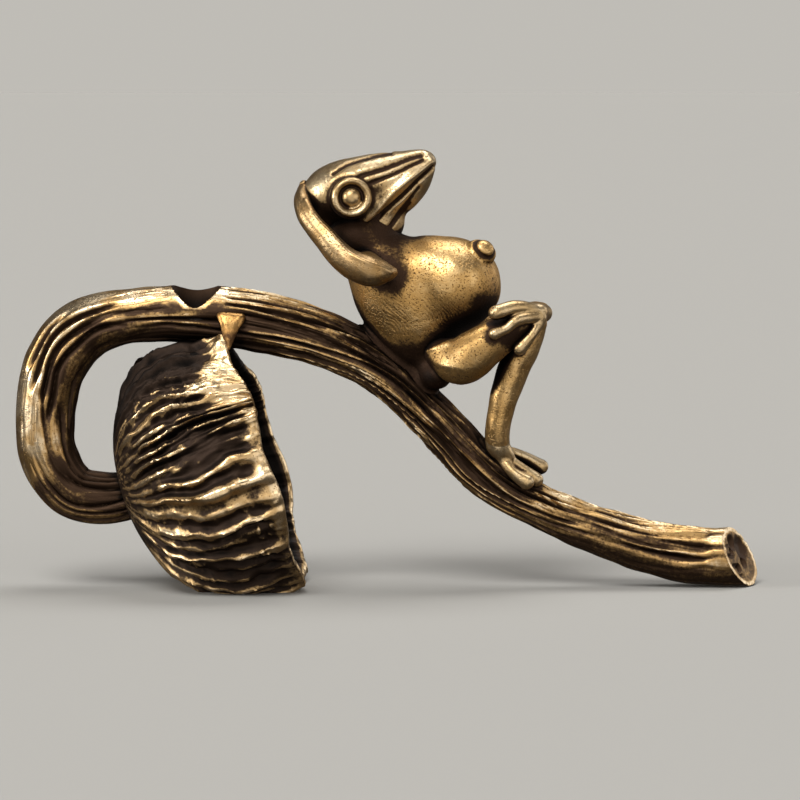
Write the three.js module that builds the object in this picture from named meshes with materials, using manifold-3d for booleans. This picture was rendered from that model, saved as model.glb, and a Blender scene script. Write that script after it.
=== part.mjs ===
// Brass figurine: a frog lying back on a lotus stem that hooks over its own seed pod.
// Millimetres, +Z up. The stem runs along X, and the side that is usually seen is -Y.
// The origin is the middle of the footprint, on the table.
// Each casting is cut back from the one that carries it by the film of braze between them.

import * as THREE from "three";
import { mergeVertices } from "three/addons/utils/BufferGeometryUtils.js";
import Module from "manifold-3d";

const wasm = await Module();
wasm.setup();

// Driving dimensions
const BRAZE_FILM = 0.12;

const STEM_FLUTES = 7;
const STEM_FLUTE_DEPTH = 0.3;
const STEM_TWIST_TURNS = 0.35;
const STEM_END_X = 31.42;
const STEM_TIP_RADIUS = 2.55;
const AIR_CHANNELS = 5;
const AIR_CHANNEL_RADIUS = 0.5;
const AIR_CHANNEL_CIRCLE = 1.35;
const AIR_CHANNEL_DEPTH = 2.2;

const INCENSE_MOUTH_RADIUS = 2.2;
const INCENSE_MOUTH_DEPTH = 1.8;
const INCENSE_MOUTH_OFFSET = 1.4;
const INCENSE_HOLE_RADIUS = 1.15;
const INCENSE_HOLE_DEPTH = 3.2;
const INCENSE_HOLE_POINT = 0.4;
const INCENSE_HOLE_OFFSET = 0.6;
const INCENSE_HOLE_PLACE = 0.472;

const POD_PLACE = 0.03;
const POD_TILT = THREE.MathUtils.degToRad(15);
const POD_DEPTH = 13.3;
const POD_BELLY_RADIUS = 12.0;
const POD_BELLY_DEPTH = 8.6;
const POD_ROUNDNESS = 0.6;
const POD_MOUTH_RADIUS = 11.2;
const POD_NECK_RADIUS = 2.9;
const POD_RISE_AT_NECK = 0.9;
const POD_DROP_AT_MOUTH = 0.7;
const POD_WALL = 1.0;
const POD_RIDGES = 40;
const POD_RIDGE_TURN = 0.028;
const POD_RIDGE_HEIGHT = 0.65;
const POD_LESSER_RIDGE = 0.45;
const POD_GATHER = 0.055;
const POD_GATHER_PLACE = 0.235;
const POD_GATHER_WIDTH = 0.07;
const POD_LIP_BAND = 0.6;
const POD_RIM_SETBACK = 1.7;
const POD_RIM_PEAK = 1.5;
const POD_RIM_PEAK_PLACE = 0.05;
const POD_RIM_PEAK_WIDTH = 0.025;
const POD_RIM_SWELL = 0.25;
const POD_LOBES = 7;
const POD_LOBE_HEIGHT = 0.5;
const POD_LOBE_SWELL = 0.4;

const SEED_PLATE_THICKNESS = 1.7;
const SEED_PLATE_CROWN = 0.5;
const SEED_PLATE_RECESS = 2.6;
const SEED_LEDGE = 0.9;
const SEED_RADIUS = 1.15;
const SEED_HEIGHT = 1.5;
const SEED_CELL_CLEARANCE = 0.15;
const SEED_CELL_DEPTH = 1.1;
const SEED_CIRCLES = [
  { count: 1, spread: 0 },
  { count: 5, spread: 0.39 },
  { count: 8, spread: 0.76 },
];

const RIM_BRAZE_THICKNESS = 0.3;

const FROG_PLACE = 0.668;
const SEAT_DROP = 0.9;
const EYE_RADIUS = 1.85;
const PUPIL_RADIUS = 0.85;
const MOUTH_SLIT = 0.3;
const TOE_RADIUS = 0.52;
const TOE_PAD_RADIUS = 0.68;

// The stem's centre line, as x, z and radius, from inside the pod's neck round the hook to the tip
const STEM_LINE = [
  [-21.4, 8.35, 2.0],
  [-24.6, 7.85, 2.25],
  [-27.6, 8.45, 2.4],
  [-29.6, 11.2, 2.5],
  [-30.0, 15.2, 2.55],
  [-29.0, 19.8, 2.75],
  [-26.6, 22.7, 2.7],
  [-22.5, 23.9, 2.35],
  [-16.8, 24.1, 2.55],
  [-11.0, 23.4, 2.65],
  [-5.5, 21.95, 2.5],
  [-0.6, 19.4, 2.25],
  [4.2, 14.95, 2.15],
  [9.0, 9.95, 2.2],
  [13.6, 7.1, 1.9],
  [20.5, 4.35, 2.2],
  [26.0, 2.95, 2.4],
  [STEM_END_X + 2, STEM_TIP_RADIUS, STEM_TIP_RADIUS],
];

// The frog's skeleton, measured from its seat on top of the stem, for the side at -Y
const HEAD_LINE = [
  { at: [-8.65, 0, 14.5], high: 1.6, wide: 1.8 },
  { at: [-6.9, 0, 15.05], high: 3.0, wide: 2.9 },
  { at: [-4.8, 0, 15.4], high: 3.3, wide: 3.2 },
  { at: [-2.7, 0, 15.95], high: 3.05, wide: 2.8 },
  { at: [-1.1, 0, 16.65], high: 2.35, wide: 2.3 },
  { at: [0.2, 0, 17.6], high: 1.5, wide: 1.6 },
  { at: [0.7, 0, 17.95], high: 1.05, wide: 1.1 },
];
const MOUTH_LINE = [
  [2.4, 18.0],
  [0.4, 16.45],
  [-0.9, 15.05],
  [-1.95, 14.05],
];
const EYE = [-6.1, -2.35, 15.3];
const THROAT = { at: [-3.2, 0, 12.7], half: [2.2, 2.1, 2.3] };
const SPINE = [
  { at: [1.2, 0, 1.2], high: 1.9, wide: 1.9 },
  { at: [0.1, 0, 3.2], high: 3.6, wide: 3.1 },
  { at: [-0.45, 0, 5.6], high: 4.6, wide: 4.0 },
  { at: [-1.8, 0, 7.4], high: 4.0, wide: 4.0 },
  { at: [-3.6, 0, 10.0], high: 2.7, wide: 3.0 },
  { at: [-3.6, 0, 11.95], high: 2.1, wide: 2.2 },
];
const BELLY = { at: [2.85, 0, 7.1], half: [4.6, 4.4, 4.25] };
const CHEST = { at: [0.9, 0, 8.4], half: [3.0, 3.7, 3.0] };
const SHOULDERS = { at: [-5.2, 0, 10.9], half: [2.6, 3.2, 2.4] };
const NAVEL = { at: [5.6, -1.5, 10.05], half: [1.2, 1.1, 1.1] };
const FOREARM = [
  { at: [-9.8, -0.9, 15.2], high: 0.66 },
  { at: [-9.95, -2.0, 14.5], high: 0.74 },
  { at: [-9.4, -3.5, 13.1], high: 0.86 },
  { at: [-7.85, -4.6, 11.25], high: 1.0 },
  { at: [-6.15, -5.3, 9.5], high: 1.18 },
  { at: [-4.2, -5.6, 8.6], high: 1.35 },
  { at: [-2.75, -5.6, 8.45], high: 0.85 },
];
const UPPER_ARM = [
  { at: [-4.25, -2.1, 9.05], high: 1.3 },
  { at: [-4.3, -3.4, 9.0], high: 1.2 },
  { at: [-3.8, -4.6, 8.8], high: 1.1 },
  { at: [-3.2, -5.3, 8.6], high: 0.9 },
];
const THIGH = [
  { at: [1.2, -1.5, 1.6], high: 1.2 },
  { at: [3.6, -3.4, 0.6], high: 2.05 },
  { at: [6.0, -4.15, 2.0], high: 1.85 },
  { at: [8.2, -3.8, 3.45], high: 1.5 },
  { at: [10.2, -3.1, 4.3], high: 1.15 },
];
const SHIN = [
  { at: [10.36, -3.0, 3.92], high: 1.12 },
  { at: [9.45, -2.9, 1.8], high: 1.25 },
  { at: [8.51, -2.5, 0], high: 1.28 },
  { at: [7.63, -2.0, -2.85], high: 1.12 },
  { at: [7.1, -1.5, -5.35], high: 1.02 },
  { at: [7.15, -1.0, -7.1], high: 0.95 },
];
const PLANTED_HEEL = [
  { at: [7.1, -1.0, -7.0], high: 0.95 },
  { at: [7.7, -1.0, -7.7], high: 0.75 },
];
const PLANTED_TOES = [
  [[7.7, -0.6, -7.5], [9.4, 0.2, -8.1], [11.0, 0.6, -9.0]],
  [[7.6, -1.0, -7.8], [9.2, -0.9, -8.7], [10.7, -1.0, -9.8]],
  [[7.4, -1.5, -8.0], [8.5, -2.0, -9.0], [9.9, -2.2, -9.9]],
];
const FAR_THIGH = [
  { at: [1.2, 1.5, 1.8], high: 1.4 },
  { at: [3.65, 4.2, 1.8], high: 2.0 },
  { at: [7.0, 6.7, 2.9], high: 1.5 },
  { at: [9.1, 7.6, 3.4], high: 1.05 },
];
const FAR_SHIN = [
  { at: [9.1, 7.6, 3.4], high: 1.05 },
  { at: [10.0, 4.6, 4.1], high: 1.15 },
  { at: [10.8, 1.2, 4.6], high: 0.95 },
  { at: [11.1, -2.2, 4.7], high: 0.8 },
];
const CROSSED_HEEL = [
  { at: [11.1, -2.2, 4.7], high: 0.8 },
  { at: [10.8, -3.5, 4.9], high: 0.68 },
];
const CROSSED_TOES = [
  [[10.7, -3.4, 5.2], [8.7, -4.8, 5.95], [6.95, -5.7, 5.15]],
  [[10.6, -3.7, 4.8], [8.7, -5.3, 4.45], [6.85, -6.4, 3.35]],
  [[10.8, -3.7, 4.5], [9.9, -4.8, 3.0], [8.9, -5.2, 1.9]],
];

// Finishes
const castBrass = new THREE.MeshStandardMaterial({ color: 0xa8854a, roughness: 0.38, metalness: 1 });
const stemBrass = new THREE.MeshStandardMaterial({ color: 0x7d6238, roughness: 0.45, metalness: 1 });
const brazeAlloy = new THREE.MeshStandardMaterial({ color: 0xb87333, roughness: 0.35, metalness: 1 });

const ACROSS = new THREE.Vector3(0, 1, 0);
const FORWARD = new THREE.Vector3(1, 0, 0);
const HALF_TURN = Math.PI;

// Solids and surfaces

function solidOf(geometry) {
  const bare = new THREE.BufferGeometry().setAttribute("position", geometry.getAttribute("position"));
  if (geometry.index) bare.setIndex(geometry.index);
  const merged = mergeVertices(bare, 1e-4);
  const corners = merged.index.array;
  const triVerts = [];
  for (let i = 0; i < corners.length; i += 3) {
    const [a, b, c] = [corners[i], corners[i + 1], corners[i + 2]];
    if (a !== b && b !== c && c !== a) triVerts.push(a, b, c);
  }
  const vertProperties = merged.attributes.position.array;
  return new wasm.Manifold(new wasm.Mesh({ numProp: 3, vertProperties, triVerts: new Uint32Array(triVerts) }));
}

function geometryOf(solid) {
  const { numProp, numVert, vertProperties, triVerts } = solid.getMesh();
  const position = new Float32Array(numVert * 3);
  for (let i = 0; i < numVert; i++) position.set(vertProperties.subarray(i * numProp, i * numProp + 3), i * 3);
  const geometry = new THREE.BufferGeometry();
  geometry.setAttribute("position", new THREE.BufferAttribute(position, 3));
  geometry.setIndex(new THREE.BufferAttribute(new Uint32Array(triVerts), 1));
  geometry.computeVertexNormals();
  return geometry;
}

// The largest body that is left of a casting once its neighbours are cut away
function trim(solid, ...neighbours) {
  const left = neighbours.reduce((rest, neighbour) => rest.subtract(neighbour), solid);
  return left.decompose().reduce((a, b) => (a.volume() > b.volume() ? a : b));
}

function moved(solid, matrix) {
  return solid.transform(matrix.elements);
}

// A closed skin over rings of points that run counter-clockwise about the way they follow each other
function skin(start, rings, end) {
  const sides = rings[0].length;
  const points = [start, ...rings.flat(), end];
  const last = points.length - 1;
  const index = [];
  const at = (ring, side) => 1 + ring * sides + (side % sides);
  for (let side = 0; side < sides; side++) {
    index.push(0, at(0, side + 1), at(0, side));
    index.push(at(rings.length - 1, side), at(rings.length - 1, side + 1), last);
    for (let ring = 0; ring + 1 < rings.length; ring++) {
      const [a, b] = [at(ring, side), at(ring, side + 1)];
      const [c, d] = [at(ring + 1, side + 1), at(ring + 1, side)];
      index.push(a, b, c, a, c, d);
    }
  }
  const geometry = new THREE.BufferGeometry().setFromPoints(points);
  geometry.setIndex(index);
  return geometry;
}

// A limb or a body: ellipses laid square to a curve through the stations, with round ends
function form(stations, { sides = 10, steps = 10, lie = ACROSS, grow = 0 } = {}) {
  const CAP_RINGS = 2;
  const path = new THREE.CatmullRomCurve3(stations.map((s) => new THREE.Vector3(...s.at)));
  const girth = new THREE.CatmullRomCurve3(
    stations.map((s) => new THREE.Vector3(s.high, s.wide ?? s.high, 0)),
  );
  const ring = (t, turn) => {
    const along = path.getTangent(t);
    const wideway = lie.clone().addScaledVector(along, -lie.dot(along)).normalize();
    const highway = new THREE.Vector3().crossVectors(wideway, along);
    const { x: high, y: wide } = girth.getPoint(t);
    const centre = path.getPoint(t).addScaledVector(along, Math.sin(turn) * (Math.min(high, wide) + grow));
    if (Math.abs(turn) === HALF_TURN / 2) return centre;
    return Array.from({ length: sides }, (_, side) => {
      const angle = (side / sides) * 2 * HALF_TURN;
      return centre
        .clone()
        .addScaledVector(highway, Math.cos(angle) * Math.cos(turn) * (high + grow))
        .addScaledVector(wideway, Math.sin(angle) * Math.cos(turn) * (wide + grow));
    });
  };
  const capTurn = (cap) => ((cap / (CAP_RINGS + 1)) * HALF_TURN) / 2;
  const rings = [];
  for (let cap = CAP_RINGS; cap > 0; cap--) rings.push(ring(0, -capTurn(cap)));
  for (let step = 0; step <= steps; step++) rings.push(ring(step / steps, 0));
  for (let cap = 1; cap <= CAP_RINGS; cap++) rings.push(ring(1, capTurn(cap)));
  return solidOf(skin(ring(0, -HALF_TURN / 2), rings, ring(1, HALF_TURN / 2)));
}

function egg({ at, half }, { grow = 0, segments = 12 } = {}) {
  const round = new THREE.SphereGeometry(1, segments, Math.round(segments * 0.65));
  round.scale(half[0] + grow, half[1] + grow, half[2] + grow).translate(...at);
  return solidOf(round);
}
const ball = (at, radius, options) => egg({ at, half: [radius, radius, radius] }, options);

const otherSide = ([x, y, z]) => [x, -y, z];
const otherSideOf = (stations) => stations.map((s) => ({ ...s, at: otherSide(s.at) }));

function mesh(name, solid, material) {
  const made = new THREE.Mesh(geometryOf(solid), material);
  made.name = name;
  return made;
}

const figurine = new THREE.Group();
const halfSpaceBelow = (height) => {
  const size = 200;
  return solidOf(new THREE.BoxGeometry(size, size, size).translate(0, 0, height - size / 2));
};

// Stem: a fluted sweep with a drilled hole for the stick and a slanting cut that shows the air channels

const stemPath = new THREE.CatmullRomCurve3(
  STEM_LINE.map(([x, z]) => new THREE.Vector3(x, 0, z)),
  false,
  "centripetal",
);
const stemGirth = new THREE.CatmullRomCurve3(STEM_LINE.map(([, , radius]) => new THREE.Vector3(radius, 0, 0)));

function stemSweep(grow) {
  const STEPS = 40;
  const SIDES_PER_FLUTE = 4;
  const sides = STEM_FLUTES * SIDES_PER_FLUTE;
  const rings = [];
  for (let step = 0; step <= STEPS; step++) {
    const t = step / STEPS;
    const centre = stemPath.getPoint(t);
    const along = stemPath.getTangent(t);
    const downway = new THREE.Vector3().crossVectors(ACROSS, along);
    const twist = (1 - t) * STEM_TWIST_TURNS * 2 * HALF_TURN;
    rings.push(
      Array.from({ length: sides }, (_, side) => {
        const angle = (side / sides) * 2 * HALF_TURN + twist;
        const flute = (1 - Math.cos((side / SIDES_PER_FLUTE) * 2 * HALF_TURN)) / 2;
        const reach = stemGirth.getPoint(t).x - STEM_FLUTE_DEPTH * flute + grow;
        return centre
          .clone()
          .addScaledVector(downway, Math.cos(angle) * reach)
          .addScaledVector(ACROSS, Math.sin(angle) * reach);
      }),
    );
  }
  const start = stemPath.getPoint(0).addScaledVector(stemPath.getTangent(0), -grow);
  return solidOf(skin(start, rings, stemPath.getPoint(1)));
}

function slantingCut() {
  const size = 30;
  const facing = new THREE.Vector3(1, -0.3, 0.26).normalize();
  const turn = new THREE.Quaternion().setFromUnitVectors(FORWARD, facing);
  const middle = new THREE.Vector3(STEM_END_X, 0, STEM_TIP_RADIUS);
  const place = new THREE.Matrix4().compose(middle, turn, new THREE.Vector3(1, 1, 1));
  const offcut = solidOf(new THREE.BoxGeometry(size, size, size).translate(size / 2, 0, 0));
  const channels = Array.from({ length: AIR_CHANNELS }, (_, i) => {
    const angle = (i / AIR_CHANNELS) * 2 * HALF_TURN;
    const channel = new THREE.CylinderGeometry(AIR_CHANNEL_RADIUS, AIR_CHANNEL_RADIUS, 2 * AIR_CHANNEL_DEPTH, 8);
    channel.rotateZ(HALF_TURN / 2);
    channel.translate(0, Math.cos(angle) * AIR_CHANNEL_CIRCLE, Math.sin(angle) * AIR_CHANNEL_CIRCLE);
    return solidOf(channel);
  });
  return moved(channels.reduce((all, channel) => all.add(channel), offcut), place);
}

// The stick hole: a countersunk mouth that leans towards -Y, and a narrower bore under it
function drilledHole() {
  const SIDES = 20;
  const middle = stemPath.getPoint(INCENSE_HOLE_PLACE);
  const crest = middle.z + stemGirth.getPoint(INCENSE_HOLE_PLACE).x;
  const slope = (INCENSE_MOUTH_RADIUS - INCENSE_HOLE_RADIUS) / INCENSE_MOUTH_DEPTH;
  const neck = (INCENSE_MOUTH_OFFSET + INCENSE_HOLE_OFFSET) / 2;
  const levels = [
    { drop: INCENSE_HOLE_DEPTH, radius: INCENSE_HOLE_RADIUS, offset: INCENSE_HOLE_OFFSET },
    { drop: INCENSE_MOUTH_DEPTH, radius: INCENSE_HOLE_RADIUS, offset: neck },
    { drop: 0, radius: INCENSE_MOUTH_RADIUS, offset: INCENSE_MOUTH_OFFSET },
    { drop: -1, radius: INCENSE_MOUTH_RADIUS + slope, offset: INCENSE_MOUTH_OFFSET },
  ];
  const centre = (offset, drop) => new THREE.Vector3(middle.x, -offset, crest - drop);
  const rings = levels.map(({ drop, radius, offset }) =>
    Array.from({ length: SIDES }, (_, side) => {
      const angle = (side / SIDES) * 2 * HALF_TURN;
      const out = new THREE.Vector3(Math.cos(angle) * radius, Math.sin(angle) * radius, 0);
      return centre(offset, drop).add(out);
    }),
  );
  const point = centre(INCENSE_HOLE_OFFSET, INCENSE_HOLE_DEPTH + INCENSE_HOLE_POINT);
  return solidOf(skin(point, rings, centre(INCENSE_MOUTH_OFFSET, -1)));
}

const stemSolid = trim(stemSweep(0), slantingCut(), drilledHole());
const stemRoom = stemSweep(BRAZE_FILM);
figurine.add(mesh("stem", stemSolid, stemBrass));

// Pod: in its own frame the bowl opens along +Z, +X points up its rim and +Y towards the usual viewer

const pod = new THREE.Group();
pod.position.copy(stemPath.getPoint(POD_PLACE));
const podOut = new THREE.Vector3(Math.cos(POD_TILT), 0, Math.sin(POD_TILT));
const podUp = new THREE.Vector3(-Math.sin(POD_TILT), 0, Math.cos(POD_TILT));
pod.quaternion.setFromRotationMatrix(
  new THREE.Matrix4().makeBasis(podUp, new THREE.Vector3().crossVectors(podOut, podUp), podOut),
);
pod.updateMatrix();
const intoPod = pod.matrix.clone().invert();
figurine.add(pod);

const podLean = (z) => THREE.MathUtils.lerp(POD_RISE_AT_NECK, -POD_DROP_AT_MOUTH, z / POD_DEPTH);
function podRadius(z) {
  if (z < POD_BELLY_DEPTH) {
    const short = 1 - z / POD_BELLY_DEPTH;
    return POD_NECK_RADIUS + (POD_BELLY_RADIUS - POD_NECK_RADIUS) * (1 - short * short) ** POD_ROUNDNESS;
  }
  const past = (z - POD_BELLY_DEPTH) / (POD_DEPTH - POD_BELLY_DEPTH);
  return POD_MOUTH_RADIUS + (POD_BELLY_RADIUS - POD_MOUTH_RADIUS) * Math.cos((past * HALF_TURN) / 2);
}

// The bowl's ridges run from the neck to the rim and crowd together towards the top of the rim
function podOutside() {
  const RINGS = 8;
  const sides = POD_RIDGES * 2;
  const { smoothstep } = THREE.MathUtils;
  const rings = [];
  for (let ring = 0; ring <= RINGS; ring++) {
    const share = ring / RINGS;
    const z = POD_DEPTH * share ** 1.5;
    const opened = smoothstep(share, 0.02, 0.4);
    rings.push(
      Array.from({ length: sides }, (_, side) => {
        const turn = (side / sides + POD_RIDGE_TURN) % 1;
        const fromTop = Math.min(turn, 1 - turn);
        const crowd = Math.exp(-(((fromTop - POD_GATHER_PLACE) / POD_GATHER_WIDTH) ** 2)) * share ** 2;
        const angle = (turn - Math.sign(0.5 - turn) * POD_GATHER * crowd) * 2 * HALF_TURN;
        const crest = [POD_RIDGE_HEIGHT, 0, POD_LESSER_RIDGE, 0][side % 4];
        const topBand = smoothstep(0.2 - fromTop, 0, 0.08) * smoothstep(share, 0.8, 0.92);
        const band = Math.max(topBand, smoothstep(share, 0.9, 0.97) / 2);
        const wave = Math.cos(angle * POD_LOBES);
        const valley = podRadius(z) - POD_RIDGE_HEIGHT + (POD_LOBE_SWELL / 2) * share ** 2 * wave;
        const peak = Math.exp(-(((fromTop - POD_RIM_PEAK_PLACE) / POD_RIM_PEAK_WIDTH) ** 2));
        const raised = POD_LIP_BAND * band + POD_RIM_PEAK * peak * smoothstep(share, 0.82, 1);
        const reach = valley + opened * crest * (1 - 0.8 * band) + raised;
        const rim = POD_RIM_SWELL * Math.sin(angle) ** 2 - POD_RIM_SETBACK * Math.max(Math.cos(angle), 0) ** 3;
        const lobe = POD_LOBE_HEIGHT * share ** 6 * (wave / 2 - 0.2);
        const depth = z + rim * share ** 3 + lobe;
        return new THREE.Vector3(podLean(z) + Math.cos(angle) * reach, Math.sin(angle) * reach, depth);
      }),
    );
  }
  const start = new THREE.Vector3(podLean(0), 0, 0);
  return solidOf(skin(start, rings, new THREE.Vector3(podLean(POD_DEPTH), 0, POD_DEPTH)));
}

const SEED_PLATE_RADIUS = POD_MOUTH_RADIUS - POD_RIDGE_HEIGHT - POD_WALL - 2 * BRAZE_FILM;
const seedLedge = POD_DEPTH - SEED_PLATE_RECESS - SEED_PLATE_THICKNESS;
function podInside() {
  const LEVELS = 6;
  const floor = POD_WALL * 1.5;
  const skinDepth = POD_WALL + POD_RIDGE_HEIGHT;
  const profile = [new THREE.Vector2(0, floor)];
  for (let level = 0; level <= LEVELS; level++) {
    const z = floor + (seedLedge - floor) * (level / LEVELS) ** 1.5;
    const reach = Math.min(podRadius(z) - skinDepth, SEED_PLATE_RADIUS - SEED_LEDGE);
    profile.push(new THREE.Vector2(level ? reach : reach * 0.7, z));
  }
  const bore = SEED_PLATE_RADIUS + BRAZE_FILM;
  const beyond = POD_DEPTH + POD_LOBE_HEIGHT + 1;
  profile.push(new THREE.Vector2(bore, seedLedge - BRAZE_FILM), new THREE.Vector2(bore, beyond));
  profile.push(new THREE.Vector2(0, beyond));
  const hollow = new THREE.LatheGeometry(profile, 26).rotateX(HALF_TURN / 2);
  return solidOf(hollow.translate(podLean(seedLedge), 0, 0));
}

// The braze that ties the pod's rim to the near side of the stem above it: a flat run that fills the crevice

const rimTop = new THREE.Vector3(podLean(POD_DEPTH) + POD_MOUTH_RADIUS, 0, POD_DEPTH - POD_RIM_SETBACK);
rimTop.applyMatrix4(pod.matrix);
const stemPlaces = Array.from({ length: 201 }, (_, i) => 0.35 + (0.3 * i) / 200);
const overRim = (t) => Math.abs(stemPath.getPoint(t).x - rimTop.x - 1.0);
const rimBrazePlace = stemPlaces.reduce((a, b) => (overRim(a) < overRim(b) ? a : b));

function rimBraze(grow) {
  const { x, z } = stemPath.getPoint(rimBrazePlace);
  const radius = stemGirth.getPoint(rimBrazePlace).x;
  const patch = new THREE.Shape([
    new THREE.Vector2(x - 1.0 - grow, z + 0.5 + grow),
    new THREE.Vector2(x + 0.25 - grow, z - 2.1),
    new THREE.Vector2(x + 0.85 + grow, z - 2.1),
    new THREE.Vector2(x + 1.6 + grow, z + 0.25 + grow),
  ]);
  const prism = new THREE.ExtrudeGeometry(patch, { depth: 2 * radius, bevelEnabled: false }).rotateX(HALF_TURN / 2);
  const run = [
    { at: [x + 0.4, -0.92 * radius, z - 1.0], high: 0.55 },
    { at: [x + 0.3, -0.8 * radius, z - 2.0], high: 0.5 },
    { at: [x - 0.2, -0.55 * radius, rimTop.z - 0.1], high: 0.4 },
  ];
  const film = stemSweep(BRAZE_FILM + RIM_BRAZE_THICKNESS + grow).intersect(solidOf(prism));
  return film.add(form(run, { sides: 8, steps: 4, grow }));
}
figurine.add(mesh("rim_braze", trim(rimBraze(0), stemRoom), brazeAlloy));

const tableTop = moved(halfSpaceBelow(0), intoPod);
const footWall = moved(halfSpaceBelow(POD_WALL), intoPod);
const podShell = trim(
  podOutside(),
  podInside().subtract(footWall),
  tableTop,
  moved(stemRoom, intoPod),
  moved(rimBraze(BRAZE_FILM), intoPod),
);
pod.add(mesh("pod_shell", podShell, castBrass));

// Seed plate with blind cells, and a seed in each cell

const seedFace = new THREE.Group();
seedFace.position.set(podLean(seedLedge), 0, seedLedge);
pod.add(seedFace);

const plateFace = (r) => SEED_PLATE_THICKNESS + SEED_PLATE_CROWN * (1 - (r / SEED_PLATE_RADIUS) ** 2);
const seedPlaces = SEED_CIRCLES.flatMap(({ count, spread }) =>
  Array.from({ length: count }, (_, i) => {
    const radius = SEED_PLATE_RADIUS * spread;
    const angle = ((i + 0.5) / count) * 2 * HALF_TURN;
    return new THREE.Vector3(Math.cos(angle) * radius, Math.sin(angle) * radius, plateFace(radius));
  }),
);

function seedPlate() {
  const LEVELS = 4;
  const crown = Array.from({ length: LEVELS + 1 }, (_, i) => {
    const r = SEED_PLATE_RADIUS * (1 - i / LEVELS);
    return new THREE.Vector2(r, plateFace(r));
  });
  const profile = [new THREE.Vector2(0, 0), new THREE.Vector2(SEED_PLATE_RADIUS, 0), ...crown];
  const blank = solidOf(new THREE.LatheGeometry(profile, 26).rotateX(HALF_TURN / 2));
  const cellRadius = SEED_RADIUS + SEED_CELL_CLEARANCE;
  return seedPlaces.reduce((plate, place) => {
    const cell = new THREE.CylinderGeometry(cellRadius, cellRadius * 0.8, 2 * SEED_CELL_DEPTH, 7);
    return plate.subtract(solidOf(cell.rotateX(HALF_TURN / 2).translate(place.x, place.y, place.z)));
  }, blank);
}
seedFace.add(mesh("seed_plate", seedPlate(), castBrass));

const seedShape = new THREE.SphereGeometry(SEED_RADIUS * 0.85, 8, 4).rotateX(HALF_TURN / 2);
seedShape.scale(1, 1, SEED_HEIGHT / 2 / (SEED_RADIUS * 0.85));
seedPlaces.forEach((place, i) => {
  const seed = new THREE.Mesh(seedShape, castBrass);
  seed.name = `lotus_seed_${String(i + 1).padStart(2, "0")}`;
  seed.position.copy(place);
  seed.position.z += SEED_HEIGHT / 2 - SEED_CELL_DEPTH + BRAZE_FILM;
  seedFace.add(seed);
});

// Frog: its frame sits on top of the stem where it leans back

const seatSide = new THREE.Vector3().crossVectors(stemPath.getTangent(FROG_PLACE), ACROSS);
const frog = new THREE.Group();
frog.position.copy(stemPath.getPoint(FROG_PLACE));
frog.position.addScaledVector(seatSide, stemGirth.getPoint(FROG_PLACE).x);
frog.updateMatrix();
figurine.add(frog);
const stemByFrog = moved(stemRoom, frog.matrix.clone().invert());
const seatTurn = new THREE.Quaternion().setFromUnitVectors(new THREE.Vector3(0, 0, 1), seatSide);
const seatLie = new THREE.Matrix4().makeRotationFromQuaternion(seatTurn);

const torso = (grow) =>
  form(SPINE, { sides: 14, steps: 9, grow })
    .add(egg(BELLY, { grow, segments: 16 }))
    .add(egg(CHEST, { grow, segments: 12 }))
    .add(egg(SHOULDERS, { grow, segments: 12 }))
    .add(egg(NAVEL, { grow, segments: 8 }))
    .subtract(moved(halfSpaceBelow(-SEAT_DROP - grow), seatLie));
frog.add(mesh("frog_torso", trim(torso(0), stemByFrog), castBrass));

const eyeBead = (side, grow) => {
  const at = side < 0 ? EYE : otherSide(EYE);
  const pupil = [at[0], at[1] + side * (EYE_RADIUS - 0.25 * PUPIL_RADIUS), at[2]];
  return ball(at, EYE_RADIUS, { grow, segments: 11 }).add(ball(pupil, PUPIL_RADIUS, { grow, segments: 10 }));
};

function mouthSlit() {
  const curve = new THREE.CatmullRomCurve3(MOUTH_LINE.map(([x, z]) => new THREE.Vector3(x, 0, z)));
  const width = 12;
  const section = new THREE.Shape([
    new THREE.Vector2(-MOUTH_SLIT / 2, -width / 2),
    new THREE.Vector2(MOUTH_SLIT / 2, -width / 2),
    new THREE.Vector2(MOUTH_SLIT / 2, width / 2),
    new THREE.Vector2(-MOUTH_SLIT / 2, width / 2),
  ]);
  return solidOf(new THREE.ExtrudeGeometry(section, { steps: 6, extrudePath: curve, bevelEnabled: false }));
}

const head = (grow) => form(HEAD_LINE, { sides: 16, steps: 11, grow }).add(egg(THROAT, { grow, segments: 10 }));
const headSolid = trim(head(0), torso(BRAZE_FILM), mouthSlit(), eyeBead(-1, BRAZE_FILM), eyeBead(1, BRAZE_FILM));
frog.add(mesh("frog_head", headSolid, castBrass));
frog.add(mesh("frog_eye_right", trim(eyeBead(-1, 0)), castBrass));
frog.add(mesh("frog_eye_left", trim(eyeBead(1, 0)), castBrass));

const arm = (side) => {
  const turned = side < 0 ? (stations) => stations : otherSideOf;
  return form(turned(FOREARM), { steps: 11 }).add(form(turned(UPPER_ARM), { sides: 9, steps: 5 }));
};
const armRoom = [torso(BRAZE_FILM), head(BRAZE_FILM), stemByFrog];
frog.add(mesh("frog_arm_right", trim(arm(-1), ...armRoom), castBrass));
frog.add(mesh("frog_arm_left", trim(arm(1), ...armRoom), castBrass));

// Legs: the near foot is planted on the stem, and the far leg is crossed over the near knee

const thigh = (grow) => form(THIGH, { sides: 12, steps: 10, grow });
const shin = (grow) => form(SHIN, { sides: 12, steps: 10, grow });
const farThigh = (grow) => form(FAR_THIGH, { sides: 12, steps: 9, grow });
const farShin = (grow) => form(FAR_SHIN, { sides: 12, steps: 9, lie: FORWARD, grow });
const foot = (heel, toes, lie) =>
  toes.reduce((whole, [root, bend, tip]) => {
    const toe = [
      { at: root, high: TOE_RADIUS },
      { at: bend, high: TOE_RADIUS },
      { at: tip, high: TOE_PAD_RADIUS },
    ];
    return whole.add(form(toe, { sides: 6, steps: 4 }));
  }, form(heel, { sides: 10, steps: 3, lie }));

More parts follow.
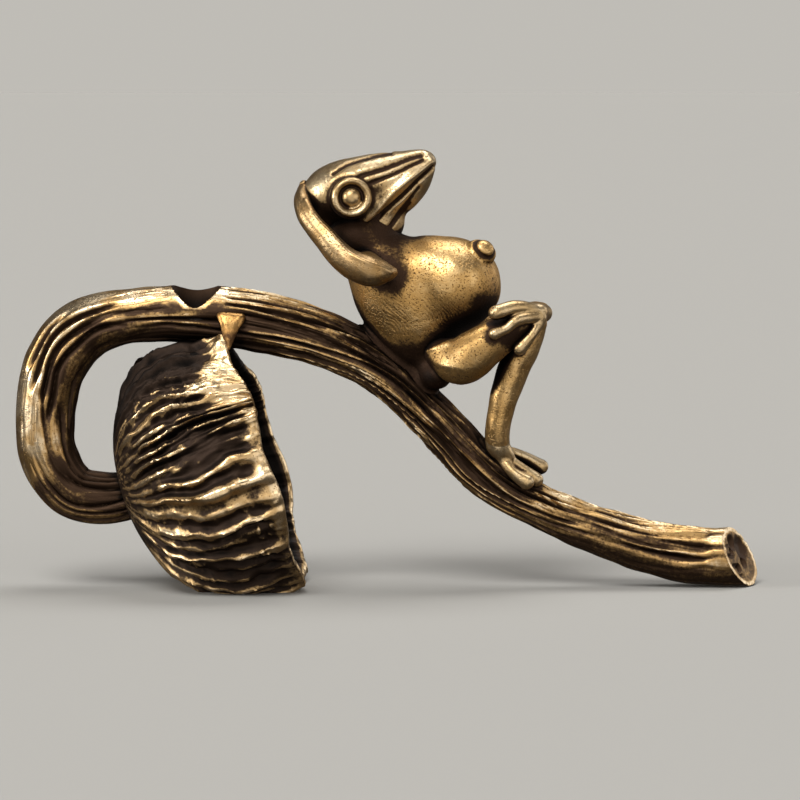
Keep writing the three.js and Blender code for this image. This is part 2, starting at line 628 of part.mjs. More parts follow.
const torsoRoom = torso(BRAZE_FILM);
frog.add(mesh("frog_thigh_right", trim(thigh(0), torsoRoom, stemByFrog), castBrass));
frog.add(mesh("frog_shin_right", trim(shin(0), thigh(BRAZE_FILM), stemByFrog), castBrass));
const plantedFoot = trim(foot(PLANTED_HEEL, PLANTED_TOES, ACROSS), shin(BRAZE_FILM), stemByFrog);
frog.add(mesh("frog_foot_right", plantedFoot, castBrass));
frog.add(mesh("frog_thigh_left", trim(farThigh(0), torsoRoom, stemByFrog, thigh(BRAZE_FILM)), castBrass));
const nearLegRoom = [thigh(BRAZE_FILM), shin(BRAZE_FILM), torsoRoom];
frog.add(mesh("frog_shin_left", trim(farShin(0), farThigh(BRAZE_FILM), ...nearLegRoom), castBrass));
const crossedFoot = trim(foot(CROSSED_HEEL, CROSSED_TOES, FORWARD), farShin(BRAZE_FILM), ...nearLegRoom);
frog.add(mesh("frog_foot_left", crossedFoot, castBrass));

export default figurine;
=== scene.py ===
import math

import bpy
import numpy as np
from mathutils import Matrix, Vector


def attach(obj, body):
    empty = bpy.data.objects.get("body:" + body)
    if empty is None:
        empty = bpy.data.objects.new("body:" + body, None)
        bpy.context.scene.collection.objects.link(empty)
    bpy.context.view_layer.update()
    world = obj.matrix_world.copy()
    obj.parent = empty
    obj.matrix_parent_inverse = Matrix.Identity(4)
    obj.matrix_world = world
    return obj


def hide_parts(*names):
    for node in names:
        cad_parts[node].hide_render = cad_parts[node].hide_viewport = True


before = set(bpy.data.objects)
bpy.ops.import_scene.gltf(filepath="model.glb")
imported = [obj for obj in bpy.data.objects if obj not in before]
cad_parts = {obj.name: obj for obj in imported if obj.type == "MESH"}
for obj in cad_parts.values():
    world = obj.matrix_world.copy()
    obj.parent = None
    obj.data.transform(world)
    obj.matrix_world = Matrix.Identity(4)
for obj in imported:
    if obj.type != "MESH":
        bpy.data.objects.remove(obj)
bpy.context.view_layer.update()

# Lotus stem: one cast brass rod with wavy lengthwise ribs, dark in the grooves and bright on top, partly
# rubbed and partly painted light from above.
# It leaves the pod's base, hooks round, runs over the pod and arches down to a slanting cut end.
# A hole for an incense stick is drilled in its top, and the cut end shows the stem's air channels.

MM = 0.001
FULL_TURN = 2 * math.pi
FAR = 1e9
BUMP_DEPTH = 0.05
STEM_STEP = 0.18
STEM_SIDES = 180
STEM_RIBS = 15
STEM_HAIRS = 38
STEM_CRISP = 50
# Stations on the stem's middle line: x, z and radius.
STEM_LINE = np.array(
    [
        [-21.4, 8.35, 2.0],
        [-24.6, 7.85, 2.25],
        [-27.6, 8.45, 2.4],
        [-29.6, 11.2, 2.5],
        [-30.0, 15.2, 2.55],
        [-29.0, 19.8, 2.75],
        [-26.6, 22.7, 2.7],
        [-22.5, 23.9, 2.35],
        [-16.8, 24.1, 2.55],
        [-11.0, 23.4, 2.65],
        [-5.5, 21.95, 2.5],
        [-0.6, 19.4, 2.25],
        [4.2, 14.95, 2.15],
        [9.0, 9.95, 2.2],
        [13.6, 7.1, 1.9],
        [20.5, 4.35, 2.2],
        [26.0, 2.95, 2.4],
        [33.42, 2.55, 2.55],
    ]
)
TIP_MIDDLE = np.array([31.3, 0.0, 2.55])
TIP_FACING = np.array([1.0, -0.52, 0.42])
TIP_FACING /= np.linalg.norm(TIP_FACING)
TIP_LEAD = 4.0
TIP_HOLLOW = 0.42
# Hollows in the cut end: distance from its middle, angle and size.
AIR_CHANNELS = ((1.65, 6.0, 0.6), (1.2, 0.95, 0.95), (0.6, 2.5, 0.5), (1.6, 5.4, 0.32), (1.35, 4.2, 0.36))
# The drilled hole: its share of the way through the stations, how far off centre it is, lifts and radii.
HOLE_PLACE = 0.472
HOLE_OFFSET = 0.5
HOLE_PROFILE = ((-3.4, 1.6), (-2.6, 1.75), (-1.9, 2.0), (0.0, 2.15), (1.0, 2.2))
HOLE_POINT = -3.9
HOLE_SIDES = 72
# Gashes on the hook: where each starts and ends along the stem, and its share of a turn.
HOOK_GASHES = ((17.0, 23.0, 0.617), (15.5, 26.5, 0.668), (14.5, 25.5, 0.728), (13.0, 27.0, 0.785))

forms = {}
castings = {}


def curve(points, t, even=True):
    """Points at t, from 0 to 1, on the smooth curve through the given points."""
    points = np.asarray(points, float)
    ends = np.vstack([2 * points[0] - points[1], points, 2 * points[-1] - points[-2]])
    place = np.clip(t, 0, 1) * (len(points) - 1)
    span = np.minimum(place.astype(int), len(points) - 2)
    w = (place - span)[:, None]
    p0, p1, p2, p3 = (ends[span + k] for k in range(4))
    d0, d1, d2 = (
        1.0 if even else np.linalg.norm(b - a, axis=1, keepdims=True) ** 0.5
        for a, b in ((p0, p1), (p1, p2), (p2, p3))
    )
    lead = d1 * ((p1 - p0) / d0 - (p2 - p0) / (d0 + d1) + (p2 - p1) / d1)
    trail = d1 * ((p2 - p1) / d1 - (p3 - p1) / (d1 + d2) + (p3 - p2) / d2)
    bend = 3 * (p2 - p1) - 2 * lead - trail
    return p1 + w * (lead + w * (bend + w * (lead + trail - 2 * (p2 - p1))))


def stem_at(place):
    """The stem's middle, as x and z, and its radius, at a share of the way through its stations."""
    spot = np.array([place])
    return curve(STEM_LINE[:, :2], spot, even=False)[0], curve(STEM_LINE[:, 2:], spot)[0, 0]


def ripple(u, v, cells, seed):
    """Smooth noise of about -1 to 1 over a sheet whose u side closes on itself after so many cells."""
    rows = int(v.max()) + 3
    way = np.random.RandomState(seed).uniform(0, FULL_TURN, (cells, rows))
    iu, iv = np.floor(u).astype(int), np.floor(v).astype(int)
    fu, fv = u - iu, v - iv
    ease_u, ease_v = (f * f * f * (f * (6 * f - 15) + 10) for f in (fu, fv))

    def corner(a, b):
        angle = way[(iu + a) % cells, np.clip(iv + b, 0, rows - 1)]
        return np.cos(angle) * (fu - a) + np.sin(angle) * (fv - b)

    near = corner(0, 0) + ease_u * (corner(1, 0) - corner(0, 0))
    far = corner(0, 1) + ease_u * (corner(1, 1) - corner(0, 1))
    return 1.5 * (near + ease_v * (far - near))


def smooth(low, high, x):
    """An eased step from 0 at low to 1 at high, which may be the smaller of the two."""
    s = np.clip((x - low) / (high - low), 0, 1)
    return s * s * (3 - 2 * s)


def bell(x):
    """A round bump, 1 in the middle and near 0 past 2 on either side."""
    return np.exp(-x * x)


def sheet(rows, sides):
    """Row values, and shares of a turn, at the points of a sheet that closes round on itself."""
    return np.meshgrid(rows, np.arange(sides) / sides, indexing="ij")


def spin(turn, first, second):
    """Directions at shares of a turn, from the first of two square directions towards the second."""
    angle = FULL_TURN * turn[..., None]
    return np.cos(angle) * first + np.sin(angle) * second


def rolled(rings, start, end):
    """Faces of a closed skin over rings of points, with a fan to a point at each end."""
    count, sides = rings.shape[:2]
    ids = np.arange(count * sides).reshape(count, sides)
    nxt = np.roll(ids, -1, axis=1)
    quads = np.stack([ids[:-1], nxt[:-1], nxt[1:], ids[1:]], -1).reshape(-1, 4)
    last = count * sides
    fans = [[last, b, a] for a, b in zip(ids[0], nxt[0])]
    fans += [[a, b, last + 1] for a, b in zip(ids[-1], nxt[-1])]
    return np.vstack([rings.reshape(-1, 3), start, end]), quads.tolist() + fans


def brass_mesh(name, points, faces, relief, finish):
    """A mesh that carries its relief, which is 1 on its high spots and 0 in its grooves, lowered where
    shade is painted and raised where light is painted.
    """
    mesh = bpy.data.meshes.new(name)
    mesh.from_pydata((np.asarray(points) * MM).tolist(), [], faces)
    values = mesh.attributes.new("relief", "FLOAT", "POINT").data
    values.foreach_set("value", np.asarray(relief, np.float32))
    mesh.materials.append(finish)
    return mesh


def casting(name, points, faces, relief, finish, slot, *nodes, crisp=60):
    """A brass piece that stands for CAD nodes, with its edges sharp past the crisp angle."""
    mesh = brass_mesh(name, points, faces, relief, finish)
    mesh.shade_smooth()
    mesh.set_sharp_from_angle(angle=math.radians(crisp))
    piece = bpy.data.objects.new(name, mesh)
    bpy.context.collection.objects.link(piece)
    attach(piece, "root")
    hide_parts(*nodes)
    castings[name] = piece
    return piece


def patina_group():
    """Dark patina left in the grooves and rubbed off the high spots; below 0 the relief goes near black,
    painted shade in the deepest spots.
    """
    group = bpy.data.node_groups.new("rubbed patina", "ShaderNodeTree")
    sockets = (
        ("Relief", "NodeSocketFloat", 0.7),
        ("Rubbed", "NodeSocketFloat", 0.0),
        ("Brass", "NodeSocketColor", (0.6, 0.4, 0.15, 1)),
        ("Warm", "NodeSocketColor", (0.5, 0.28, 0.08, 1)),
        ("Patina", "NodeSocketColor", (0.02, 0.014, 0.01, 1)),
        ("Polish", "NodeSocketFloat", 0.25),
        ("Pitting", "NodeSocketFloat", 0.0),
    )
    for name, kind, value in sockets:
        group.interface.new_socket(name, in_out="INPUT", socket_type=kind).default_value = value
    outputs = {"Color": "Color", "Roughness": "Float", "Metallic": "Float", "Height": "Float"}
    for name, kind in outputs.items():
        group.interface.new_socket(name, in_out="OUTPUT", socket_type="NodeSocket" + kind)
    nodes, link = group.nodes, group.links.new
    given = nodes.new("NodeGroupInput")
    out = nodes.new("NodeGroupOutput")
    where = nodes.new("ShaderNodeTexCoord")

    def noise(scale, detail, rough):
        node = nodes.new("ShaderNodeTexNoise")
        node.inputs["Scale"].default_value = scale
        node.inputs["Detail"].default_value = detail
        node.inputs["Roughness"].default_value = rough
        link(where.outputs["Object"], node.inputs["Vector"])
        return node.outputs["Fac"]

    def reckon(kind, a, b):
        node = nodes.new("ShaderNodeMath")
        node.operation = kind
        for socket, value in zip(node.inputs, (a, b)):
            if isinstance(value, (int, float)):
                socket.default_value = value
            else:
                link(value, socket)
        return node.outputs[0]

    def spread(value, from_low, from_high, to_low, to_high):
        node = nodes.new("ShaderNodeMapRange")
        node.interpolation_type = "SMOOTHSTEP"
        for socket, v in zip(node.inputs[1:5], (from_low, from_high, to_low, to_high)):
            socket.default_value = v
        link(value, node.inputs[0])
        return node.outputs[0]

    def tint(amount, a, b):
        node = nodes.new("ShaderNodeMix")
        node.data_type = "RGBA"
        link(amount, node.inputs[0])
        link(a, node.inputs[6])
        link(b, node.inputs[7])
        return node.outputs[2]

    specks = noise(scale=3200, detail=3, rough=0.65)
    clouds = noise(scale=420, detail=3, rough=0.55)
    pits = noise(scale=6500, detail=2, rough=0.5)
    worn_and_lit = reckon("ADD", given.outputs["Relief"], given.outputs["Rubbed"])
    for spots, weight in ((specks, 0.5), (clouds, 0.25)):
        worn_and_lit = reckon("ADD", worn_and_lit, reckon("MULTIPLY", reckon("SUBTRACT", spots, 0.5), weight))
    bare = spread(worn_and_lit, 0.12, 0.9, 0.0, 1.0)
    pitted = spread(reckon("SUBTRACT", pits, given.outputs["Pitting"]), 0.3, 0.42, 0.25, 1.0)
    bare = reckon("MULTIPLY", bare, pitted)
    metal = tint(spread(clouds, 0.35, 0.65, 0.0, 1.0), given.outputs["Warm"], given.outputs["Brass"])
    toned = tint(spread(bare, 0.0, 0.5, 0.0, 1.0), given.outputs["Patina"], given.outputs["Warm"])
    # Relief below 0 scales the colour down towards black: painted shade.
    deep_shade = nodes.new("ShaderNodeVectorMath")
    deep_shade.operation = "SCALE"
    link(tint(spread(bare, 0.4, 1.0, 0.0, 1.0), toned, metal), deep_shade.inputs[0])
    link(spread(given.outputs["Relief"], -0.8, 0.0, 0.12, 1.0), deep_shade.inputs["Scale"])
    link(deep_shade.outputs[0], out.inputs["Color"])
    dull = reckon("ADD", given.outputs["Polish"], reckon("MULTIPLY", specks, 0.16))
    dull = reckon("ADD", dull, reckon("MULTIPLY", reckon("SUBTRACT", 1.0, bare), 0.3))
    link(dull, out.inputs["Roughness"])
    link(spread(bare, 0.0, 0.6, 0.85, 1.0), out.inputs["Metallic"])
    height = reckon("ADD", reckon("MULTIPLY", specks, 0.7), reckon("MULTIPLY", pitted, 0.5))
    link(height, out.inputs["Height"])
    return group


patina = patina_group()


def brass_finish(name, brass, warm, dark, rubbed, polish, bump, pitting=0.0):
    """A brass with its own tone, patina and polish."""
    finish = bpy.data.materials.new(name)
    finish.use_nodes = True
    nodes, link = finish.node_tree.nodes, finish.node_tree.links.new
    shader = nodes["Principled BSDF"]
    relief = nodes.new("ShaderNodeAttribute")
    relief.attribute_name = "relief"
    rub = nodes.new("ShaderNodeGroup")
    rub.node_tree = patina
    for socket, value in (("Brass", brass), ("Warm", warm), ("Patina", dark)):
        rub.inputs[socket].default_value = (*value, 1)
    rub.inputs["Rubbed"].default_value = rubbed
    rub.inputs["Polish"].default_value = polish
    rub.inputs["Pitting"].default_value = pitting
    link(relief.outputs["Fac"], rub.inputs["Relief"])
    for socket, target in (("Color", "Base Color"), ("Roughness", "Roughness"), ("Metallic", "Metallic")):
        link(rub.outputs[socket], shader.inputs[target])
    dent = nodes.new("ShaderNodeBump")
    dent.inputs["Strength"].default_value = bump
    dent.inputs["Distance"].default_value = BUMP_DEPTH * MM
    link(rub.outputs["Height"], dent.inputs["Height"])
    link(dent.outputs["Normal"], shader.inputs["Normal"])
    return finish


stem_finish = brass_finish(
    "stem brass",
    brass=(0.74, 0.6, 0.4),
    warm=(0.4, 0.25, 0.1),
    dark=(0.046, 0.025, 0.0135),
    rubbed=-0.06,
    polish=0.2,
    bump=0.5,
)

steps = np.linspace(0, 1, 3000)
walk = curve(STEM_LINE[:, :2], steps, even=False)
arc = np.concatenate([[0], np.cumsum(np.linalg.norm(np.diff(walk, axis=0), axis=1))])
along = np.arange(0, arc[-1], STEM_STEP)
stem_t = np.interp(along, arc, steps)
stem_middle = curve(STEM_LINE[:, :2], stem_t, even=False)
stem_radius = curve(STEM_LINE[:, 2:], stem_t)[:, 0]
stem_way = np.gradient(stem_middle, axis=0)
stem_way /= np.linalg.norm(stem_way, axis=1, keepdims=True)
level = np.zeros(len(stem_t))
stem_centre = np.stack([stem_middle[:, 0], level, stem_middle[:, 1]], -1)
stem_forward = np.stack([stem_way[:, 0], level, stem_way[:, 1]], -1)
stem_under = np.stack([stem_way[:, 1], level, -stem_way[:, 0]], -1)

# At each point of the stem: the run from its root, and the share of a turn from its inner side.
run, turn = sheet(along, STEM_SIDES)
stem_x = np.interp(run, along, stem_middle[:, 0])


def stem_noise(cells, length, seed):
    """Smooth noise on the stem, in so many cells round it, each of a given length."""
    return ripple(cells * turn, run / length, cells, seed)


# Stretches of the stem, each 1 where it holds: the hook, the tail, what the frog shades, the root.
hook = smooth(42.0, 26.0, run)
tail = smooth(9.0, 18.0, stem_x) * (1 - hook)
shaded = smooth(-7.0, 1.0, stem_x) * smooth(15.0, 8.0, stem_x) * (1 - hook)
near_pod = smooth(11.5, 6.5, run)
outer = 0.5 - 0.5 * np.cos(FULL_TURN * turn)
inner_side = smooth(0.75, 0.35, outer)
bare_side = smooth(25.0, 20.0, run) * smooth(0.5, 0.75, outer)
(hole_x, hole_z), hole_top = stem_at(HOLE_PLACE)
by_hole = smooth(3.1, 2.2, np.abs(stem_x - hole_x)) * smooth(0.5, 0.65, outer)

# Ribs with sharp grooves between them, a few gashes on the hook, and hair lines over all.
wander = 0.03 * stem_noise(5, 16.0, 2) + 0.004 * run + 0.018 * np.sin(run / 11.0)
rib_place = STEM_RIBS * (turn + wander) + (0.5 + 0.3 * shaded) * stem_noise(STEM_RIBS, 8.5, 3)
rib_place = rib_place + 0.3 * tail * stem_noise(STEM_RIBS, 3.6, 64)
rib_fall = 1 - np.abs(2 * (rib_place % 1) - 1)
rib_shape = 1.9 + 0.9 * hook + 0.5 * tail - 0.8 * shaded
strong = np.clip(0.85 + 0.9 * stem_noise(11, 11.0, 4), 0.15, 1)
hook_strong = np.clip(0.35 + 1.9 * stem_noise(9, 9.0, 61), 0, 1) * (0.2 + 0.6 * inner_side)
strong = strong + hook * (hook_strong - strong)
tail_strong = np.clip(0.6 + 1.2 * stem_noise(9, 7.0, 62), 0.08, 0.95)
strong = strong + tail * (tail_strong - strong)
strong = strong * (1 - 0.9 * bare_side) * (1 - 0.8 * tail * smooth(0.5, 0.32, outer))
strong = np.maximum(strong * (1 - 0.9 * by_hole), 0.75 * near_pod)
gash = np.zeros_like(turn)
for number, (start, end, place) in enumerate(HOOK_GASHES):
    drift = place + 0.008 * np.sin(run * 1.1 + number)
    across = np.minimum(np.abs(turn - drift), np.abs(1 - turn - drift))
    stretch = smooth(start, start + 2.0, run) * smooth(end, end - 3.0, run)
    gash = np.maximum(gash, bell(across / 0.014) * stretch)
hair_place = STEM_HAIRS * (turn + wander) + 0.7 * stem_noise(STEM_HAIRS, 7.0, 8)
hair_fall = (1 - np.abs(2 * (hair_place % 1) - 1)) ** 2
hair_depth = 0.16 - 0.11 * hook + 0.24 * (1 - hook) * smooth(0.6, 0.85, outer)
hair_depth = hair_depth * (1 - by_hole) * (1 - 0.6 * tail)
crest = np.clip(1 - strong * rib_fall**rib_shape - hair_depth * hair_fall - 0.9 * gash, 0, 1)
rib_depth = 0.66 + 0.1 * tail - 0.5 * smooth(27.0, 30.5, stem_x)
lumps = 0.1 * stem_noise(6, 4.0, 17) * (0.4 + tail)
lumps = lumps + 0.07 * stem_noise(13, 2.1, 23) * (1 - by_hole)
stem_reach = stem_radius[:, None] + 0.05 - rib_depth * (1 - crest) + lumps
stem_rings = stem_centre[:, None] + stem_reach[..., None] * spin(turn, stem_under[:, None], [0, 1, 0])

# The rib tops are rubbed, and the outer side is lighter, partly rubbed wear and partly painted light from
# above, with painted shade under the frog and low on the tail. The hook and the root keep their stains.
rib_line = np.clip(1 - rib_fall / 0.4, 0, 1) * np.clip(1.4 * strong, 0, 1)
lit_from = 0.62 - 0.26 * smooth(27.0, 20.0, run)
lit = smooth(lit_from, lit_from + 0.28, outer) * (1 - 0.55 * shaded)
tail_lit = (0.26 + 0.45 * stem_noise(7, 8.0, 63)) * smooth(0.2, 0.45, outer)
lit = lit + tail * (np.maximum(0.8 * lit, tail_lit) - lit)
worn_low = 0.42 - 0.13 * tail
stem_relief = (0.1 + 0.9 * crest) * (worn_low + (1 - worn_low) * np.maximum(lit, 0.85 * rib_line))
stained = 0.35 * hook * np.clip(1.6 * stem_noise(11, 2.4, 65), 0, 1)
stained = stained + 0.14 * by_hole * smooth(0.92, 0.75, outer) + 0.5 * near_pod
stem_relief = np.clip(stem_relief - stained, 0, 1)

# The cut end: the last rings are slid along the stem to its slanting face, which is sunk at the hollows.
kept = stem_middle[:, 0] < TIP_MIDDLE[0] + 0.05
stem_rings = stem_rings[kept]
stem_relief = stem_relief[kept]
forward = stem_forward[kept]
lead = smooth(TIP_LEAD, 0.0, along[kept][-1] - along[kept])
slant = ((TIP_MIDDLE - stem_rings[-1]) @ TIP_FACING) / (forward[-1] @ TIP_FACING)
stem_rings = stem_rings + (lead[:, None] * slant)[..., None] * forward[:, None]
tip_up = np.cross(TIP_FACING, [0, 1, 0])
tip_up /= np.linalg.norm(tip_up)
tip_side = np.cross(tip_up, TIP_FACING)
tip_rings = []
tip_relief = []
for share in np.linspace(0.98, 0.03, 34):
    ring = TIP_MIDDLE + (stem_rings[-1] - TIP_MIDDLE) * share
    side = (ring - TIP_MIDDLE) @ tip_side
    up = (ring - TIP_MIDDLE) @ tip_up
    ragged = smooth(-0.3, -1.4, side) * np.sin(6.5 * up + 1.6 * side)
    sunk = 0.05 * np.sin(side * 2.6 + up) + 0.14 * ragged - 0.15 * bell((share - 0.88) / 0.1)
    for radius, angle, size in AIR_CHANNELS:
        gap = np.hypot(side - radius * math.sin(angle), up - radius * math.cos(angle)) / size
        sunk = np.maximum(sunk, TIP_HOLLOW * smooth(1.5, 0.35, gap) * smooth(0.97, 0.85, share))
    tip_rings.append(ring - sunk[:, None] * TIP_FACING)
    tip_relief.append(np.clip(0.4 + 0.6 * smooth(0.82, 0.93, share) - 0.5 * sunk, 0, 1))
stem_points, stem_faces = rolled(
    np.vstack([stem_rings, tip_rings]), stem_rings[0].mean(0), TIP_MIDDLE - 0.9 * TIP_FACING
)
stem_relief = np.concatenate([stem_relief.ravel(), np.ravel(tip_relief), [0, 0]])
stem = casting("lotus_stem", stem_points, stem_faces, stem_relief, stem_finish, "stem_brass", "stem")


def stem_form(p):
    """How far points are from the stem's plain surface."""
    best = np.full(len(p), FAR)
    for place in range(0, len(stem_middle), 6):
        gap = np.linalg.norm(p - stem_centre[place], axis=1) - stem_radius[place]
        best = np.minimum(best, gap)
    return np.maximum(best, (p - TIP_MIDDLE) @ TIP_FACING)


forms["lotus_stem"] = stem_form

# The stick hole is drilled into the finished casting, which leaves its edge bright, and the cutter's relief
# of -1 paints the hole's inside black as painted shade.
drill_middle = np.array([hole_x, -HOLE_OFFSET, hole_z + hole_top])
drill_circle = spin(np.arange(HOLE_SIDES) / HOLE_SIDES, [1, 0, 0], [0, 1, 0])
drill_rings = [drill_middle + radius * drill_circle + [0, 0, lift] for lift, radius in HOLE_PROFILE]
drill_point = drill_rings[0].mean(0) + [0, 0, HOLE_POINT - HOLE_PROFILE[0][0]]
drill_points, drill_faces = rolled(np.array(drill_rings), drill_point, drill_rings[-1].mean(0))
drill_mesh = brass_mesh("drill", drill_points, drill_faces, np.full(len(drill_points), -1), stem_finish)
drill = bpy.data.objects.new("drill", drill_mesh)
bpy.context.collection.objects.link(drill)
cut = stem.modifiers.new("incense hole", "BOOLEAN")
cut.operation = "DIFFERENCE"
cut.solver = "MANIFOLD"
cut.object = drill
bpy.context.view_layer.update()
stem.data = bpy.data.meshes.new_from_object(stem.evaluated_get(bpy.context.evaluated_depsgraph_get()))
stem.modifiers.clear()
bpy.data.objects.remove(drill)
stem.data.shade_smooth()
stem.data.set_sharp_from_angle(angle=math.radians(STEM_CRISP))


def column(items, field, width):
    """A field of a mesh's vertices, or of what they carry, as rows of so many numbers."""
    values = np.empty(width * len(items), np.float32)
    items.foreach_get(field, values)
    return values.reshape(-1, width).astype(float)


x, y, z = column(stem.data.vertices, "co", 3).T / MM
relief = column(stem.data.attributes["relief"].data, "value", 1)[:, 0]
hole_lift, hole_radius = np.array(HOLE_PROFILE).T
from_drill = np.hypot(x - hole_x, y + HOLE_OFFSET)
from_drill = from_drill - np.interp(z - hole_z - hole_top, hole_lift, hole_radius)
hole_edge = smooth(0.34, 0.06, from_drill) * (from_drill > 0.01) * (z > hole_z + 0.6)
relief = relief + hole_edge * (1 - relief)
stem.data.attributes["relief"].data.foreach_set("value", relief.astype(np.float32))

# Seed pod: a thin cast brass bowl, ridged like a drying lotus head, with a lobed mouth.
# It is brazed to the stem at its base and at its rim, and stands on a ground flat.

POD_TILT = math.radians(15)
POD_DEPTH = 13.3
POD_BELLY = (12.0, 8.6)
POD_MOUTH = 11.2
POD_NECK = 2.9
POD_LEAN = (0.9, -0.7)
POD_RIDGES = 56
POD_RIDGE_TURN = 0.028
POD_RIDGE_HEIGHTS = np.array([0.95, 0.4, 0.75, 0.5, 0.9, 0.3, 0.65])
POD_CRINKLES = 120
POD_LOBES = 7
POD_SIDES = 720
POD_ROWS = 128
# Steps of the lip from the rim into the mouth: how far in and how far back.
POD_LIP = ((0.25, -0.12), (0.55, -0.1), (0.85, 0.12), (1.0, 0.6), (1.15, 1.6), (1.3, 3.2))
POD_NECK_PLACE = 0.03

neck_x, neck_z = stem_at(POD_NECK_PLACE)[0]
pod_neck = np.array([neck_x, 0, neck_z])
pod_out = np.array([math.cos(POD_TILT), 0, math.sin(POD_TILT)])
pod_up = np.array([-math.sin(POD_TILT), 0, math.cos(POD_TILT)])
pod_near = np.cross(pod_out, pod_up)


def pod_radius(depth):
    """The bowl's plain radius at a depth from its neck."""
    swell = 1 - np.clip(1 - depth / POD_BELLY[1], 0, 1) ** 2
    below = POD_NECK + (POD_BELLY[0] - POD_NECK) * swell**0.6
    past = np.clip((depth - POD_BELLY[1]) / (POD_DEPTH - POD_BELLY[1]), 0, 1)
    above = POD_MOUTH + (POD_BELLY[0] - POD_MOUTH) * np.cos(past * math.pi / 2)
    return np.where(depth < POD_BELLY[1], below, above)


def pod_lean(depth):
    """How far the bowl's middle lies above its axis at a depth from its neck."""
    return POD_LEAN[0] + (POD_LEAN[1] - POD_LEAN[0]) * depth / POD_DEPTH


def pod_place(depth, reach, angle):
    """Points of the pod by depth from its neck, distance from its middle and angle from its top."""
    return (
        pod_neck
        + depth[..., None] * pod_out
        + (pod_lean(depth) + reach * np.cos(angle))[..., None] * pod_up
        + (reach * np.sin(angle))[..., None] * pod_near
    )


# At each point of the bowl: grown is 0 at the neck and 1 at the rim, swung is the share of a turn.
grown, swung = sheet(np.linspace(0, 1, POD_ROWS), POD_SIDES)


def pod_noise(cells, rows, seed):
    """Smooth noise on the bowl, in so many cells round it and rows from its neck to its rim."""
    return ripple(cells * swung, grown * rows, cells, seed)


# Ridges of uneven height that gather below the rim, with crinkles, crumbs and a light crumple.
from_top = np.minimum(swung, 1 - swung)
gathered = 0.055 * bell((from_top - 0.235) / 0.07) * grown**2
pod_turn = FULL_TURN * (swung - np.where(swung < 0.5, gathered, -gathered))
ridge_place = POD_RIDGES * (swung - POD_RIDGE_TURN) + 0.45 * pod_noise(20, 3.4, 5)
ridge_place = ridge_place + 0.1 * pod_noise(60, 9, 51)
ridge_number = np.round(ridge_place)
ridge = np.clip(1.3 - np.abs(ridge_place - ridge_number) / 0.34, 0, 1) ** 1.2
ridge_high = POD_RIDGE_HEIGHTS[ridge_number.astype(int) % len(POD_RIDGE_HEIGHTS)]
ridge_high = ridge_high * np.clip(0.85 + 0.75 * pod_noise(40, 3.6, 9), 0.3, 1.15)
crinkle_place = POD_CRINKLES * swung + 0.7 * pod_noise(60, 7, 6)
crinkle = bell((crinkle_place % 1 - 0.5) / 0.24)
crumbs = np.clip(pod_noise(160, 46, 41) - 0.15, 0, 1) * np.clip(pod_noise(14, 5, 42) + 0.2, 0, 1)
crumple = pod_noise(72, 15, 53)
opened = smooth(0.02, 0.4, grown)
big_fold = bell((swung - 0.281) / 0.013) * smooth(0.3, 0.55, grown)

# The rim: a plain band that widens into a shoulder at the top, a peak by the braze, and the lobes.
lobes = 0.5 + 0.5 * np.cos(POD_LOBES * pod_turn)
wedge = 0.92 - 0.17 * bell((from_top - 0.13) / 0.05) + 0.05 * pod_noise(40, 7, 52)
shoulder = smooth(0.25, 0.12, from_top) * smooth(wedge - 0.09, wedge + 0.09, grown)
lip_band = np.maximum(0.5 * smooth(0.9, 0.97, grown), shoulder)
peak = bell((from_top - 0.05) / 0.025) * smooth(0.82, 1.0, grown)
pod_rise = ridge_high * ridge * (1 - 0.8 * lip_band) + 0.05 * crinkle + 0.2 * crumple + 0.35 * crumbs
pod_rise = opened * pod_rise + 0.6 * lip_band
pod_reach = pod_radius(POD_DEPTH * grown**1.5) - 0.65 + pod_rise + 0.25 * big_fold + 1.65 * peak
pod_reach = pod_reach + 0.4 * grown**2 * (lobes - 0.5)
rim_shift = 0.45 * np.sin(pod_turn) ** 2 - 0.95 * np.clip(np.cos(pod_turn), 0, 1) ** 3
pod_depth = POD_DEPTH * grown**1.5 + grown**3 * rim_shift + 0.5 * grown**6 * (lobes - 0.7)
pod_depth = pod_depth + 0.12 * grown**6 * pod_noise(40, 9, 12)
pod_rings = pod_place(pod_depth, pod_reach, pod_turn)

# The ridges and the rim are rubbed, and the bowl is darker low down, with a painted shadow of the stem,
# down to black, on it under the stem.
broken = np.clip(0.75 + 1.1 * pod_noise(60, 11, 14), 0.15, 1.15)
pod_relief = 0.08 + 0.1 * crinkle * broken + opened * ridge * (0.5 + 0.75 * ridge_high) * broken
pod_relief = pod_relief + 1.6 * crumbs + 0.5 * big_fold + 0.3 * crumple
pod_relief = np.clip(np.maximum(pod_relief, 1.5 * shoulder + 0.8 * smooth(0.92, 0.99, grown)), 0, 2)
stem_shadow_on_pod = smooth(0.125, 0.085, from_top) * smooth(10.8, 9.4, pod_depth)
pod_relief = pod_relief * (1 - 0.4 * smooth(0.31, 0.38, from_top)) * (1 - 0.85 * stem_shadow_on_pod)
pod_relief = pod_relief - 0.7 * stem_shadow_on_pod
lip_rings = []
lip_relief = []
for inward, back in POD_LIP:
    lip_rings.append(pod_place(pod_depth[-1] - back, pod_reach[-1] - inward, pod_turn[-1]))
    lip_relief.append(np.full(POD_SIDES, max(0, 0.9 - back * 0.9)))
pod_rings = np.vstack([pod_rings, lip_rings])
pod_relief = np.vstack([pod_relief, lip_relief])
pod_rings[..., 2] = np.maximum(pod_rings[..., 2], 0)
pod_points, pod_faces = rolled(pod_rings, pod_rings[0].mean(0), pod_rings[-1].mean(0))
pod_finish = brass_finish(
    "pod brass",
    brass=(0.76, 0.6, 0.38),
    warm=(0.45, 0.3, 0.14),
    dark=(0.028, 0.0165, 0.0105),
    rubbed=0.04,
    polish=0.22,
    bump=0.5,
)
